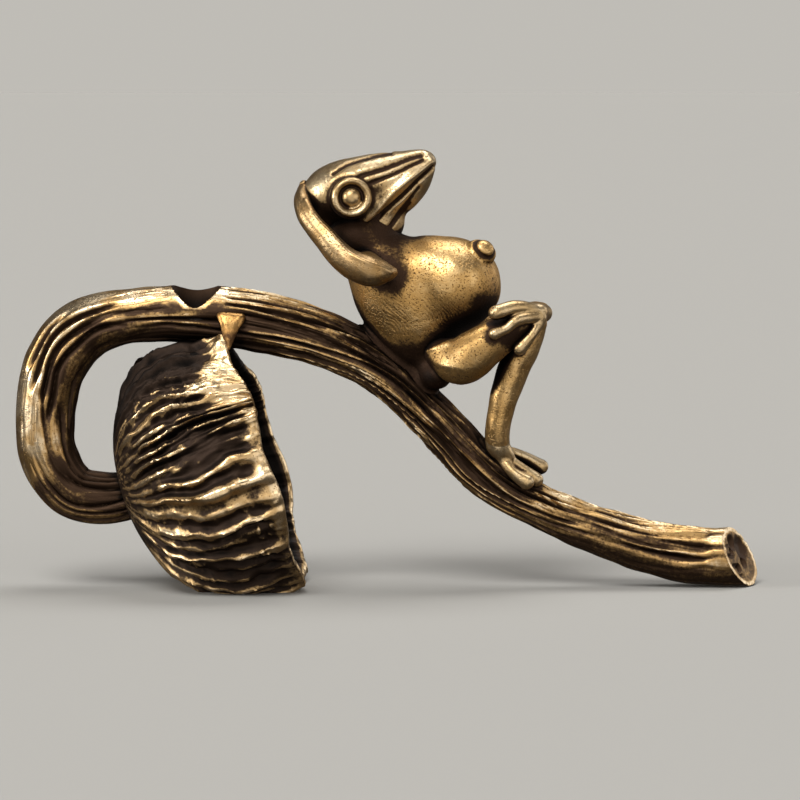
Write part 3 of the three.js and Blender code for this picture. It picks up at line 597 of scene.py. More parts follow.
pod_relief = np.append(pod_relief, [0, 0])
casting("pod_bowl", pod_points, pod_faces, pod_relief, pod_finish, "cast_brass", "pod_shell")


def pod_form(p):
    """How far points are from the pod's plain outside."""
    rel = p - pod_neck
    depth = rel @ pod_out
    off = np.hypot(rel @ pod_up - pod_lean(depth), rel @ pod_near)
    wide = off - pod_radius(np.clip(depth, 0, POD_DEPTH))
    return np.maximum(wide, np.maximum(-depth, depth - POD_DEPTH))


forms["pod_bowl"] = pod_form

# Seed plate and seeds: a domed brass disc set in the pod's mouth, with a round cell for each seed.
# The seeds are small cast beads, brazed in their cells.

PLATE_RADIUS = 9.33
PLATE_DEPTH = 10.7
PLATE_THICK = 1.6
PLATE_CROWN = 0.5
PLATE_LEAN_DEPTH = 9.0
PLATE_SIDES = 240
SEED_RADIUS = 1.15
SEED_TALL = 0.78
SEED_SIDES = 32
# Rings of seeds: how many, and their distance out as a share of the plate's radius.
SEED_RINGS = ((1, 0.0), (5, 0.39), (8, 0.76))

seed_spots = []
for count, ring_share in SEED_RINGS:
    for angle in FULL_TURN * (np.arange(count) + 0.5) / count:
        seed_spots.append(PLATE_RADIUS * ring_share * np.array([math.cos(angle), math.sin(angle)]))


def plate_place(up, near, out):
    """Points of the plate by their distances up, to the near side and out from the pod's neck."""
    raised = pod_neck + (up + pod_lean(PLATE_LEAN_DEPTH))[..., None] * pod_up
    return raised + near[..., None] * pod_near + out[..., None] * pod_out


plate_out, plate_turn = sheet(np.linspace(1, 0.004, 90), PLATE_SIDES)
up = PLATE_RADIUS * plate_out * np.cos(FULL_TURN * plate_turn)
near = PLATE_RADIUS * plate_out * np.sin(FULL_TURN * plate_turn)
sunk = 0.06 * ripple(40 * plate_turn, plate_out * 14, 40, 31)
for seed_up, seed_near in seed_spots:
    gap = np.hypot(up - seed_up, near - seed_near)
    sunk = sunk - 0.9 * smooth(SEED_RADIUS + 0.25, SEED_RADIUS - 0.05, gap)
    sunk = sunk + 0.22 * bell((gap - SEED_RADIUS - 0.42) / 0.22)
plate_face = plate_place(up, near, PLATE_DEPTH + PLATE_CROWN * (1 - plate_out**2) + sunk)
plate_back = plate_place(up[:1], near[:1], np.full_like(up[:1], PLATE_DEPTH - PLATE_THICK))
plate_points, plate_faces = rolled(
    np.vstack([plate_back, plate_face]), plate_back[0].mean(0), plate_face[-1].mean(0)
)
plate_relief = np.clip(np.vstack([np.zeros((1, PLATE_SIDES)), 0.5 + 1.4 * sunk]), 0, 1)
plate_relief = np.append(plate_relief, [0, 0.4])
casting(
    "pod_seed_plate",
    plate_points,
    plate_faces,
    plate_relief,
    pod_finish,
    "cast_brass",
    "seed_plate",
    crisp=40,
)
seed_fall, seed_turn = sheet(np.linspace(0.02, 0.98, 22) * math.pi, SEED_SIDES)
seed_tall = SEED_TALL * (1 + 0.12 * bell(seed_fall / 0.5))
seed_wide = SEED_RADIUS * 0.88 * np.sin(seed_fall)
for number, (seed_up, seed_near) in enumerate(seed_spots, 1):
    crown = PLATE_DEPTH + PLATE_CROWN * (1 - (seed_up**2 + seed_near**2) / PLATE_RADIUS**2)
    bead = plate_place(
        seed_up + seed_wide * np.cos(FULL_TURN * seed_turn),
        seed_near + seed_wide * np.sin(FULL_TURN * seed_turn),
        crown - 0.25 - seed_tall * np.cos(math.pi - seed_fall),
    )
    points, faces = rolled(bead[::-1], bead[-1].mean(0), bead[0].mean(0))
    relief = np.ones(len(points))
    seed = f"seed_{number:02d}"
    casting(f"pod_{seed}", points, faces, relief, pod_finish, "cast_brass", f"lotus_{seed}")

# Frog's body: the back, chest, round belly and navel in one brass casting, seated on top of the stem.
# Its high spots are rubbed to satin brass, and the creases round the limbs are dark, partly patina and
# partly painted shade.

FROG_PLACE = 0.668
seat, seat_radius = stem_at(FROG_PLACE)
seat_way = stem_at(FROG_PLACE + 0.001)[0] - seat
seat_way /= np.linalg.norm(seat_way)
SEAT_UP = np.array([-seat_way[1], 0, seat_way[0]])
FROG_SEAT = np.array([seat[0], 0, seat[1]]) + seat_radius * SEAT_UP


def spans(line, points):
    """For each span of a line: its ends, and the share along it and the gap to it of every point."""
    width = points.shape[1]
    for a, b in zip(line[:-1], line[1:]):
        span = (b - a)[:width]
        rel = points - a[:width]
        share = np.clip((rel @ span) / (span @ span), 0, 1)
        yield a, b, share, np.sqrt(((rel - share[:, None] * span) ** 2).sum(1))


def limb(stations):
    """Distance to a round limb whose stations are x, y, z from the seat and radius."""
    fine = curve(stations, np.linspace(0, 1, 7 * len(stations)))
    fine[:, :3] += FROG_SEAT

    def form(p):
        best = np.full(len(p), FAR)
        for a, b, share, gap in spans(fine, p):
            best = np.minimum(best, gap - a[3] - share * (b[3] - a[3]))
        return best

    return form


def barrel(stations):
    """Distance to a body whose stations are x, z from the seat, half height and half width."""
    fine = curve(stations, np.linspace(0, 1, 5 * len(stations)))
    fine[:, :2] += FROG_SEAT[[0, 2]]

    def form(p):
        best = np.full(len(p), FAR)
        for a, b, share, off in spans(fine, p[:, [0, 2]]):
            high, wide = (a[k] + share * (b[k] - a[k]) for k in (2, 3))
            best = np.minimum(best, (np.hypot(off / high, p[:, 1] / wide) - 1) * np.minimum(high, wide))
        return best

    return form


def egg(x, y, z, long, wide, high):
    """Distance to an egg-shaped lump."""
    middle = FROG_SEAT + [x, y, z]
    half = np.array([long, wide, high])

    def form(p):
        near = np.linalg.norm((p - middle) / half, axis=1)
        slope = np.linalg.norm((p - middle) / half**2, axis=1)
        return near * (near - 1) / np.maximum(slope, 1e-6)

    return form


def blended(a, b, soft):
    """The lesser of two distances, with a soft crease where they are alike."""
    share = np.clip(0.5 + 0.5 * (b - a) / soft, 0, 1)
    return b + share * (a - b) - soft * share * (1 - share)


def fused(soft, *parts):
    """Several lumps run together with soft creases."""

    def form(p):
        whole = parts[0](p)
        for part in parts[1:]:
            whole = blended(whole, part(p), soft)
        return whole

    return form


def facing(form, p):
    """Outward directions of a form at points."""
    step = 0.02
    slope = np.stack([form(p + step * axis) - form(p - step * axis) for axis in np.eye(3)], -1)
    return slope / np.maximum(np.linalg.norm(slope, axis=1, keepdims=True), 1e-9)


def skin_of(form, low, high, step):
    """Points and faces of a form's surface within a box round it."""
    low, high = FROG_SEAT + low, FROG_SEAT + high
    axes = [np.arange(a, b + step, step) for a, b in zip(low, high)]
    spots = np.stack(np.meshgrid(*axes, indexing="ij"), -1)
    size = np.array(spots.shape[:3])
    value = form(spots[::4, ::4, ::4].reshape(-1, 3)).reshape(-(-size // 4))
    for axis in range(3):
        value = value.repeat(4, axis)
    value = value[: size[0], : size[1], : size[2]]
    close = np.abs(value) < 5.5 * step
    value[close] = form(spots[close])
    total, hits = np.zeros((*(size - 1), 3)), np.zeros(size - 1)
    edges = []
    for axis in range(3):
        b, c = (axis + 1) % 3, (axis + 2) % 3
        lower, upper = [slice(None)] * 3, [slice(None)] * 3
        lower[axis], upper[axis] = slice(0, -1), slice(1, None)
        first, second = value[tuple(lower)], value[tuple(upper)]
        crossed = (first < 0) != (second < 0)
        place = spots[tuple(lower)].copy()
        place[..., axis] += step * np.where(crossed, first / np.where(crossed, first - second, 1), 0)
        place *= crossed[..., None]
        for db in (0, 1):
            for dc in (0, 1):
                part = [slice(None)] * 3
                part[b], part[c] = slice(db, size[b] - 1 + db), slice(dc, size[c] - 1 + dc)
                total += place[tuple(part)]
                hits += crossed[tuple(part)]
        edges.append((b, c, np.argwhere(crossed), (first < 0)[crossed]))
    used = hits > 0
    ids = np.full(used.shape, -1)
    ids[used] = np.arange(used.sum())
    points = total[used] / hits[used][:, None]
    faces = []
    for b, c, at, outward in edges:
        corners = []
        for db, dc in ((1, 1), (0, 1), (0, 0), (1, 0)):
            cell = at.copy()
            cell[:, b] -= db
            cell[:, c] -= dc
            corners.append(ids[tuple(cell.T)])
        quad = np.stack(corners, -1)
        faces.append(np.where(outward[:, None], quad, quad[:, ::-1]))
    for _ in range(2):
        points = points - form(points)[:, None] * facing(form, points)
    return points, np.vstack(faces).tolist()


def off_line(points, line):
    """How far points lie, in the side view, from a drawn line of x and z."""
    fine = curve(np.array(line), np.linspace(0, 1, 8 * len(line))) + FROG_SEAT[[0, 2]]
    return np.min([gap for _, _, _, gap in spans(fine, points[:, [0, 2]])], axis=0)


def off_spot(points, x, z):
    """How far points lie, in the side view, from a spot."""
    return np.hypot(points[:, 0] - FROG_SEAT[0] - x, points[:, 2] - FROG_SEAT[2] - z)


draw = np.random.RandomState(40)
TOOL_WAVES = draw.normal(size=(16, 3)) * draw.choice([0.7, 1.3, 2.2], (16, 1))
TOOL_SHIFTS = draw.uniform(0, FULL_TURN, 16)


def hand_worked(points):
    """The small unevenness that modelling by hand leaves, about -1 to 1."""
    return np.sin(points @ TOOL_WAVES.T + TOOL_SHIFTS).sum(1) / 6


FROG_PATINA = (0.03, 0.0145, 0.007)


def frog_brass(name, brass, warm, polish=0.24, pitting=0.0):
    """The frog's brass in a tone of its own, with one dark patina for all its pieces."""
    return brass_finish(
        name, brass, warm, FROG_PATINA, rubbed=0.0, polish=polish, bump=0.85, pitting=pitting
    )


body_finish = frog_brass("frog brass", brass=(0.56, 0.38, 0.175), warm=(0.42, 0.25, 0.085), pitting=0.032)

# Stations up the back: x and z from the seat, half height and half width.
BODY = [
    [1.2, 1.2, 1.9, 1.9],
    [0.1, 3.2, 3.6, 3.1],
    [-0.45, 5.6, 4.6, 4.0],
    [-1.8, 7.4, 4.0, 4.0],
    [-3.6, 10.0, 2.7, 3.0],
    [-3.6, 11.95, 2.2, 2.3],
    [-3.8, 13.45, 1.9, 2.0],
]
# Lumps: middle from the seat, then half length, half width and half height.
SHOULDERS = (-5.3, 0, 11.3, 2.6, 3.2, 2.5)
BELLY = (2.85, 0, 7.1, 4.6, 4.4, 4.25)
CHEST = (0.9, 0, 8.4, 3.0, 3.7, 3.0)
NAVEL = (5.55, -1.5, 9.95, 1.45, 1.3, 1.25)
NAVEL_KNOB = (6.1, -2.2, 10.6)
NAVEL_RING = 1.05
HIP_FILL = (1.75, -1.6, -0.75, 1.4, 1.6, 1.25)
BODY_BOX = ([-9, -5.6, -4], [8.4, 5.6, 15.8])
SEAT_REACH = 11
FLANK_HAIRS = ((-1.6, 4.7), (2.4, 4.7))
# Darkened spots, mostly painted shade beside the arm, under the jaw, along the belly's lower edge and low
# by the stem and the hip, with some stain on the chest: x and z from the seat, width and darkness.
SHADE_AND_STAIN_SPOTS = (
    (-5.9, 11.4, 2.0, 1.0),
    (-2.6, 12.2, 1.2, 0.7),
    (-2.0, 10.4, 1.4, 0.6),
    (-1.5, 8.5, 1.1, 0.5),
    (-1.9, 6.9, 0.9, 0.45),
    (6.6, 8.2, 1.1, 0.35),
    (3.8, 6.2, 2.0, 0.25),
    (0.3, 0.8, 1.6, 0.75),
    (-1.4, 1.7, 1.0, 0.4),
    (1.6, -0.7, 1.3, 1.5),
)

by_seat = np.linalg.norm(stem_centre - FROG_SEAT, axis=1) < SEAT_REACH
seat_stations = np.column_stack([stem_centre - FROG_SEAT, stem_radius])[by_seat][::14]
seat_form = limb(seat_stations)


def seated(whole, p, soft, reach):
    """A form at points, with a fillet of braze that fills the corner between it and the stem."""
    gap = seat_form(p)
    fillet = np.maximum(blended(whole, gap, soft) + 0.06, -gap - 0.4)
    return np.minimum(whole, np.maximum(fillet, whole - reach))


def body_form(p):
    """The body above the stem that it sits on."""
    whole = fused(0.7, barrel(BODY), egg(*BELLY), egg(*CHEST), egg(*SHOULDERS))(p)
    whole = blended(whole, egg(*NAVEL)(p), 0.2)
    whole = -blended(-whole, (p - FROG_SEAT) @ SEAT_UP + 0.9, 1.2)
    whole = blended(whole, egg(*HIP_FILL)(p), 1.2)
    return seated(whole, p, 0.9, 0.5)


forms["frog_body"] = body_form
points, faces = skin_of(body_form, *BODY_BOX, step=0.12)
out = facing(body_form, points)
from_knob = np.linalg.norm(points - FROG_SEAT - NAVEL_KNOB, axis=1)
navel_ring = bell((from_knob - NAVEL_RING - 0.12 * hand_worked(points)) / 0.2)
hair_way = (points[:, 0] * 0.75 + points[:, 2] * 0.66) * 8.5 + 2.4 * hand_worked(points)
flank = sum(bell(off_spot(points, *spot) / 1.6) for spot in FLANK_HAIRS)
hairs = flank * (0.5 - 0.5 * np.sin(math.pi * hair_way))
points = points + (0.03 * hand_worked(points) - 0.18 * navel_ring - 0.08 * hairs)[:, None] * out
relief = 0.82 + 0.14 * hand_worked(points) - 0.9 * navel_ring - 0.4 * hairs
for x, z, wide, dark in SHADE_AND_STAIN_SPOTS:
    relief = relief - dark * bell(off_spot(points, x, z) / wide)
# Darker close to the stem: patina in the joint and painted shade under the body.
relief = relief - 0.9 * smooth(1.7, 0.3, seat_form(points))
casting("frog_body", points, faces, np.clip(relief, -0.6, 1), body_finish, "cast_brass", "frog_torso")

# Frog's head: skull and jaws in one brass casting on the neck, looking up.
# The mouth is a slit under a raised lip, and furrows run from the brow to the tip of the snout.

HEAD = [
    [-8.65, 14.5, 1.6, 1.8],
    [-6.9, 14.8, 3.0, 2.9],
    [-4.8, 15.15, 3.25, 3.2],
    [-2.7, 15.75, 3.0, 2.8],
    [-1.1, 16.5, 2.35, 2.3],
    [0.2, 17.5, 1.5, 1.6],
    [0.7, 17.85, 1.05, 1.1],
]
EYE = (-5.75, 2.55, 14.75)
LIP = [
    (1.2, 17.86),
    (0.4, 17.25),
    (-1.18, 16.0),
    (-2.5, 14.87),
    (-3.82, 13.37),
    (-4.88, 12.4),
    (-5.67, 11.96),
]
MOUTH = [(1.5, 17.5), (0.4, 16.55), (-0.92, 15.2), (-2.68, 13.6), (-4.88, 11.9)]
# Furrows: a line of x and z from the seat, then width and depth.
FURROWS = [
    ([(-7.3, 16.9), (-6.0, 17.7), (-3.8, 18.4), (-2.2, 18.7)], 0.16, 0.16),
    ([(-4.9, 16.8), (-2.7, 17.45), (-0.5, 18.3), (0.4, 18.55)], 0.24, 0.26),
    ([(-3.9, 16.2), (-2.0, 16.9), (-0.3, 17.7), (0.6, 18.1)], 0.2, 0.2),
    ([(0.3, 15.7), (-1.36, 13.6), (-2.3, 12.3)], 0.16, 0.14),
    ([(-0.5, 14.3), (-1.9, 12.6), (-2.6, 11.6)], 0.14, 0.12),
]
THROAT = (-3.2, 0, 12.7, 2.2, 2.1, 2.3)
SNOUT_HOLLOW = (-3.5, 15.3)
CHEEK_HOLLOW = (-6.9, 12.9)
NAPE = (-9.2, 13.2)
HEAD_BOX = ([-11, -4.4, 9.765], [2.8, 4.4, 20])


def head_form(p):
    """Skull and jaws with a swelling behind each eye."""
    sides = [egg(EYE[0], side * 1.95, EYE[2], 2.1, 1.6, 2.1) for side in (-1, 1)]
    return fused(0.5, barrel(HEAD), *sides, egg(*THROAT))(p)


forms["frog_skull"] = head_form
points, faces = skin_of(head_form, *HEAD_BOX, step=0.095)
out = facing(head_form, points)
lip = bell(off_line(points, LIP) / 0.32)
mouth = bell(off_line(points, MOUTH) / 0.17)
hollow = bell(off_spot(points, *SNOUT_HOLLOW) / 1.15) + 0.8 * bell(off_spot(points, *CHEEK_HOLLOW) / 1.3)
hollow = hollow * (1 - lip)
socket = bell((off_spot(points, EYE[0], EYE[2]) - 2.0) / 0.2)
nape = bell(off_spot(points, *NAPE))
push = 0.34 * lip - 0.4 * mouth - 0.45 * hollow - 0.12 * socket + 0.03 * hand_worked(points)
relief = 0.9 + 0.25 * lip - 0.95 * mouth - 0.32 * hollow - 0.65 * socket - 0.5 * nape
for line, wide, deep in FURROWS:
    furrow = bell(off_line(points, line) / wide)
    push = push - deep * furrow
    relief = relief - 0.9 * furrow
points = points + push[:, None] * out
head_finish = frog_brass("head brass", brass=(0.57, 0.45, 0.28), warm=(0.42, 0.29, 0.14), pitting=0.01)
casting("frog_skull", points, faces, np.clip(relief, 0, 1), head_finish, "cast_brass", "frog_head")

# Frog's eyes: round brass beads set in the sides of the head, each with a domed pupil.
# A hollow runs most of the way round the pupil, inside a thick raised rim.

EYE_RADIUS = 1.86
EYE_LIFT = 1.0
EYE_SIDES = 96
# Distance from the middle of the pupil, and rise.
EYE_PROFILE = np.array(
    [
        [0.0, 0.66],
        [0.25, 0.63],
        [0.5, 0.53],
        [0.7, 0.36],
        [0.84, 0.1],
        [0.9, -0.04],
        [1.06, -0.04],
        [1.14, 0.2],
        [1.26, 0.38],
        [1.45, 0.46],
        [1.62, 0.38],
        [1.75, 0.18],
        [1.85, -0.2],
        [1.86, -1.1],
    ]
)
eye_out, eye_turn = sheet(np.linspace(1, 0.01, 64), EYE_SIDES)
rise = curve(EYE_PROFILE, np.linspace(0, 1, 400))
rise = np.interp(eye_out * EYE_RADIUS, *rise.T)
bridge = smooth(0.55, 0.9, np.cos(FULL_TURN * (eye_turn - 0.08)))
rise = rise + 0.36 * bridge * bell((eye_out * EYE_RADIUS - 0.98) / 0.14)
eye_relief = np.append(np.clip(2.2 * rise - 0.02, 0, 1).ravel(), [0, 1])
for side, name in ((-1, "right"), (1, "left")):
    look = np.array([0.1, side, 0.12])
    look /= np.linalg.norm(look)
    ahead = np.array([1, 0, 0]) - look[0] * look
    ahead /= np.linalg.norm(ahead)
    upright = np.cross(ahead, look) * -side
    middle = FROG_SEAT + np.array([EYE[0], side * EYE[1], EYE[2]])
    rings = middle + (EYE_LIFT + rise)[..., None] * look
    rings = rings + (eye_out * EYE_RADIUS)[..., None] * spin(eye_turn, upright, ahead)
    if side > 0:
        rings = np.roll(rings[:, ::-1], 1, axis=1)
    points, faces = rolled(rings, middle, rings[-1].mean(0))
    piece = f"frog_eyeball_{name}"
    casting(piece, points, faces, eye_relief, head_finish, "cast_brass", f"frog_eye_{name}")

# Frog's arms: each is cast in brass, with the elbow folded out and the hand behind the head.
# An arm is joined at the shoulder and at the back of the head, and its outer edge is rubbed bright.

# Stations of a limb: x, y and z from the seat, and radius.
FOREARM = [
    [-9.75, -0.5, 15.35, 0.66],
    [-9.95, -2.0, 14.5, 0.74],
    [-9.4, -3.5, 13.1, 0.86],
    [-7.85, -4.6, 11.25, 1.0],
    [-6.15, -5.3, 9.5, 1.18],
    [-4.2, -5.6, 8.6, 1.35],
    [-2.75, -5.6, 8.45, 0.85],
    [-2.1, -5.5, 8.45, 0.5],
]
UPPER_ARM = [
    [-4.3, -2.0, 9.0, 1.3],
    [-4.3, -3.4, 9.0, 1.2],
    [-3.8, -4.6, 8.8, 1.1],
    [-3.2, -5.3, 8.6, 0.9],
]
WRIST = [-9.75, -0.5, 15.35, 0.45]
FINGERS = [
    [WRIST, [-9.95, -0.1, 15.7, 0.36], [-9.85, 0.35, 15.9, 0.4]],
    [WRIST, [-10.1, 0.0, 15.2, 0.36], [-10.1, 0.5, 15.1, 0.4]],
    [WRIST, [-10.1, -0.1, 14.6, 0.36], [-10.05, 0.4, 14.2, 0.4]],
]
ARM_EDGE = [
    (-9.6, 14.6),
    (-8.9, 13.4),
    (-7.3, 11.75),
    (-5.9, 10.25),
    (-4.4, 9.45),
    (-3.0, 8.95),
    (-2.2, 8.5),
]
# The arms take a darker copy of the frog's brass: painted shade.
arm_shaded_finish = frog_brass("arm brass", brass=(0.33, 0.23, 0.12), warm=(0.285, 0.175, 0.07), polish=0.26)


def other_side(stations):
    """The same limb on the far side."""
    return [[x, -y, z, r] for x, y, z, r in stations]


def limb_skin(form, parts, margin, step):
    """Points and faces of a limb's surface, in a box with a margin round its stations."""
    spine = np.vstack(parts)[:, :3]
    return skin_of(form, spine.min(0) - margin, spine.max(0) + margin, step)


for name in ("right", "left"):
    parts = [FOREARM, UPPER_ARM, *FINGERS]
    if name == "left":
        parts = [other_side(part) for part in parts]
    piece = f"frog_folded_arm_{name}"
    forms[piece] = fused(0.3, *(limb(part) for part in parts))
    points, faces = limb_skin(forms[piece], parts, margin=2, step=0.1)
    out = facing(forms[piece], points)
    edge = bell(off_line(points, ARM_EDGE) / 0.22)
    points = points + (0.045 * hand_worked(points) + 0.14 * edge)[:, None] * out
    relief = np.clip(0.72 + 0.14 * hand_worked(points) + 0.4 * edge, 0, 1)
    casting(piece, points, faces, relief, arm_shaded_finish, "cast_brass", f"frog_arm_{name}")

# Frog's legs: the near foot is planted on the stem, and the far shin crosses over the near knee.
# Each leg is a thigh, a shin and a three-toed foot of cast brass, brazed at the knee and the ankle.

TOE = 0.52
TOE_PAD = 0.68
THIGH_EDGES = ([(1.0, 1.45), (3.5, 2.65), (6.1, 3.85)], [(1.0, 1.35), (1.8, 0.5), (3.8, 0.1)])
THIGH_FLAT = (3.3, 1.5)
# Spots of painted shade on the thighs and shins, at the hip end, behind the knee and under the thigh: x and
# z from the seat, width and darkness.
LEG_SHADE_SPOTS = ((0.6, 0.2, 1.6, 0.6), (8.3, 2.9, 1.0, 0.8), (4.0, -0.7, 1.1, 0.3))
# How bright each piece of a leg is left: rubbed wear, with the shin raised for painted light.
LEG_WEAR_AND_LIGHT = {"thigh": 0.7, "shin": 0.95, "foot": 0.9}
LEG_STEPS = {"thigh": 0.11, "shin": 0.11, "foot": 0.08}
LEGS = {
    "frog_thigh_right": [
        [
            [1.1, -0.9, 1.7, 0.9],
            [2.3, -2.5, 1.15, 1.45],
            [4.0, -3.6, 0.6, 2.05],
            [6.0, -4.15, 2.0, 1.85],
            [8.2, -3.7, 3.45, 1.5],
            [10.2, -2.8, 4.3, 1.15],
        ],
    ],
    "frog_shin_right": [
        [
            [10.3, -2.7, 3.92, 1.15],
            [9.45, -2.65, 1.8, 1.4],
            [8.55, -2.5, 0.0, 1.4],
            [7.65, -2.3, -2.85, 1.22],
            [7.15, -2.0, -5.35, 1.1],
            [7.15, -1.5, -7.1, 1.0],
        ],
    ],
    "frog_foot_right": [
        [[7.1, -1.6, -6.4, 1.08], [7.2, -1.5, -7.1, 1.06], [7.9, -1.3, -7.9, 0.75]],
        [[7.7, -0.6, -7.5, 0.55], [9.4, 0.2, -8.1, TOE], [11.0, 0.6, -9.0, TOE_PAD]],
        [[7.6, -1.0, -7.8, 0.5], [9.1, -1.2, -8.95, TOE], [10.5, -1.3, -10.0, TOE_PAD]],
        [[7.4, -1.5, -8.0, 0.5], [8.4, -2.1, -9.2, TOE], [9.7, -2.3, -10.1, TOE_PAD]],
    ],
    "frog_thigh_left": [
        [[1.2, 1.5, 1.8, 1.4], [3.65, 4.2, 1.8, 2.0], [7.0, 6.7, 2.9, 1.5], [9.1, 7.6, 3.4, 1.05]],
    ],
    "frog_shin_left": [
        [[9.1, 7.6, 3.4, 1.05], [10.0, 4.6, 4.1, 1.15], [10.8, 1.2, 4.6, 0.95], [11.1, -2.2, 4.7, 0.8]],
    ],
    "frog_foot_left": [
        [[11.1, -2.2, 4.7, 0.8], [10.8, -3.5, 4.9, 0.68]],
        [[10.7, -3.4, 4.9, 0.7], [8.7, -4.8, 5.3, 0.66], [6.9, -5.6, 4.95, TOE_PAD]],
        [[10.6, -3.9, 4.5, 0.55], [8.8, -5.4, 4.3, TOE], [7.8, -5.85, 3.6, 0.45], [6.75, -6.1, 3.15, 0.55]],
        [[10.8, -3.7, 4.3, 0.55], [10.0, -4.7, 3.0, 0.45], [9.0, -4.9, 1.85, 0.58]],
    ],
}
# The thigh's brass is a darker copy of the frog's brass and the shin's a lighter one: painted shade and
# painted light.
leg_finishes = {
    "thigh": frog_brass("thigh brass", (0.43, 0.3, 0.145), (0.36, 0.22, 0.08), polish=0.26, pitting=0.03),
    "shin": frog_brass("shin brass", (0.68, 0.46, 0.21), (0.52, 0.32, 0.12), pitting=0.03),
    "foot": head_finish,
}


def leg_form(node, parts):
    """A piece of a leg; the near thigh also has a fillet of braze where it meets the stem."""
    plain = fused(0.25, *(limb(part) for part in parts))
    if node != "frog_thigh_right":
        return plain
    return lambda p: seated(plain(p), p, 2.0, 0.6)


for node, parts in LEGS.items():
    kind = node.split("_")[1]
    piece = node.replace("frog_", "frog_leg_")
    forms[piece] = leg_form(node, parts)
    points, faces = limb_skin(forms[piece], parts, margin=2.6, step=LEG_STEPS[kind])
    out = facing(forms[piece], points)
    push = 0.04 * hand_worked(points)
    relief = LEG_WEAR_AND_LIGHT[kind] + 0.14 * hand_worked(points)
    if kind == "thigh":
        edge = bell(off_line(points, THIGH_EDGES[0]) / 0.2)
        edge = np.maximum(edge, 0.45 * bell(off_line(points, THIGH_EDGES[1]) / 0.25))
        push = push + 0.16 * edge - 0.2 * bell(off_spot(points, *THIGH_FLAT))
        # The thighs are darker close to the stem: patina in the joint and painted shade in the corner.
        relief = relief + 0.3 * edge - 0.5 * smooth(1.2, 0.2, seat_form(points))
    points = points + push[:, None] * out
    if kind != "foot":
        for x, z, wide, dark in LEG_SHADE_SPOTS:
            relief = relief - dark * bell(off_spot(points, x, z) / wide)
    casting(piece, points, faces, np.clip(relief, 0, 1), leg_finishes[kind], "cast_brass", node)

# Braze: orange metal that ran down between the pod's rim and the side of the stem when they were joined.
# A thin layer of it lies on the stem, and a three-cornered web reaches from there to the rim.

BRAZE_THICK = 0.14
WEB_HALF_THICK = 0.26
WEB_ROUNDING = 0.3
# Share of a turn, from the top of the pod's rim, at which the web ends.
WEB_END = 0.066

rim_top = pod_neck + (POD_DEPTH - 1.7) * pod_out + (POD_LEAN[1] + POD_MOUTH) * pod_up
over_rim = np.where(stem_t > 0.35, np.abs(stem_middle[:, 0] - rim_top[0] - 1.0), FAR).argmin()
braze_x, braze_z = stem_middle[over_rim]
braze_side = -stem_radius[over_rim]
BRAZE_PATCH = np.array([[-1.15, 0.5], [-0.3, -1.1], [0.7, -1.1], [1.25, 0.35]]) + [braze_x, braze_z]
BRAZE_WEB = np.array(
    [
        [braze_x - 0.85, 0.97 * braze_side, braze_z + 0.3],
        [braze_x + 0.95, 0.99 * braze_side, braze_z + 0.1],
        pod_place(pod_depth[-1], pod_reach[-1] - 0.1, pod_turn[-1])[round(WEB_END * POD_SIDES)],
    ]
)


def braze_form(p):
    """A thin layer on the near side of the stem, with a web that reaches down from it to the rim."""
    layer = stem_form(p) - BRAZE_THICK
    for a, b in zip(BRAZE_PATCH, np.roll(BRAZE_PATCH, -1, axis=0)):
        outward = np.array([b[1] - a[1], a[0] - b[0]]) / np.linalg.norm(b - a)
        layer = -blended(-layer, -((p[:, [0, 2]] - a) @ outward), 0.6)
    layer = np.maximum(layer, p[:, 1] + 0.5)
    square = np.cross(BRAZE_WEB[1] - BRAZE_WEB[0], BRAZE_WEB[2] - BRAZE_WEB[0])
    square /= np.linalg.norm(square)
    web = np.abs((p - BRAZE_WEB[0]) @ square) - WEB_HALF_THICK
    for a, b in zip(BRAZE_WEB, np.roll(BRAZE_WEB, -1, axis=0)):
        outward = np.cross(b - a, square) / np.linalg.norm(b - a)
        web = -blended(-web, -((p - a) @ outward) + WEB_ROUNDING, 0.7)
    return blended(layer, web, 0.7)


braze_finish = brass_finish(
    "braze",
    brass=(0.46, 0.295, 0.115),
    warm=(0.32, 0.175, 0.058),
    dark=(0.06, 0.028, 0.01),
    rubbed=0.0,
    polish=0.22,
    bump=0.4,
)
forms["rim_braze_run"] = braze_form
braze_low = [braze_x - 2.2, 2.5 * braze_side, braze_z - 5.2] - FROG_SEAT
braze_high = [braze_x + 2.0, 0.0, braze_z + 1.2] - FROG_SEAT
points, faces = skin_of(braze_form, braze_low, braze_high, step=0.07)
relief = 0.72 - 0.42 * smooth(braze_z - 0.1, braze_z - 1.6, points[:, 2])
relief = relief + 0.15 * hand_worked(2.5 * points)
casting("rim_braze_run", points, faces, relief, braze_finish, "braze", "rim_braze")

# Patina and painted shade: the finished brass figure is stained dark all over and then rubbed back by hand,
# so stain stays in the creases where castings meet.
# Each piece's relief is lowered where its surroundings close in, which also paints shade into creases,
# hollows and undersides.

# How far out the probes for closed-in spots reach, and how much a crease of that size counts towards patina
# and painted shade.
CREASE_PROBE_REACHES = ((0.5, 0.4), (1.3, 0.4), (2.8, 0.35), (5.0, 0.3))
PATINA_AND_SHADE = 1.15
SEED_PATINA_AND_SHADE = 0.3
PIECE_PATINA_AND_SHADE = {"frog_skull": 0.85, "lotus_stem": 0.95, "rim_braze_run": 0.35}

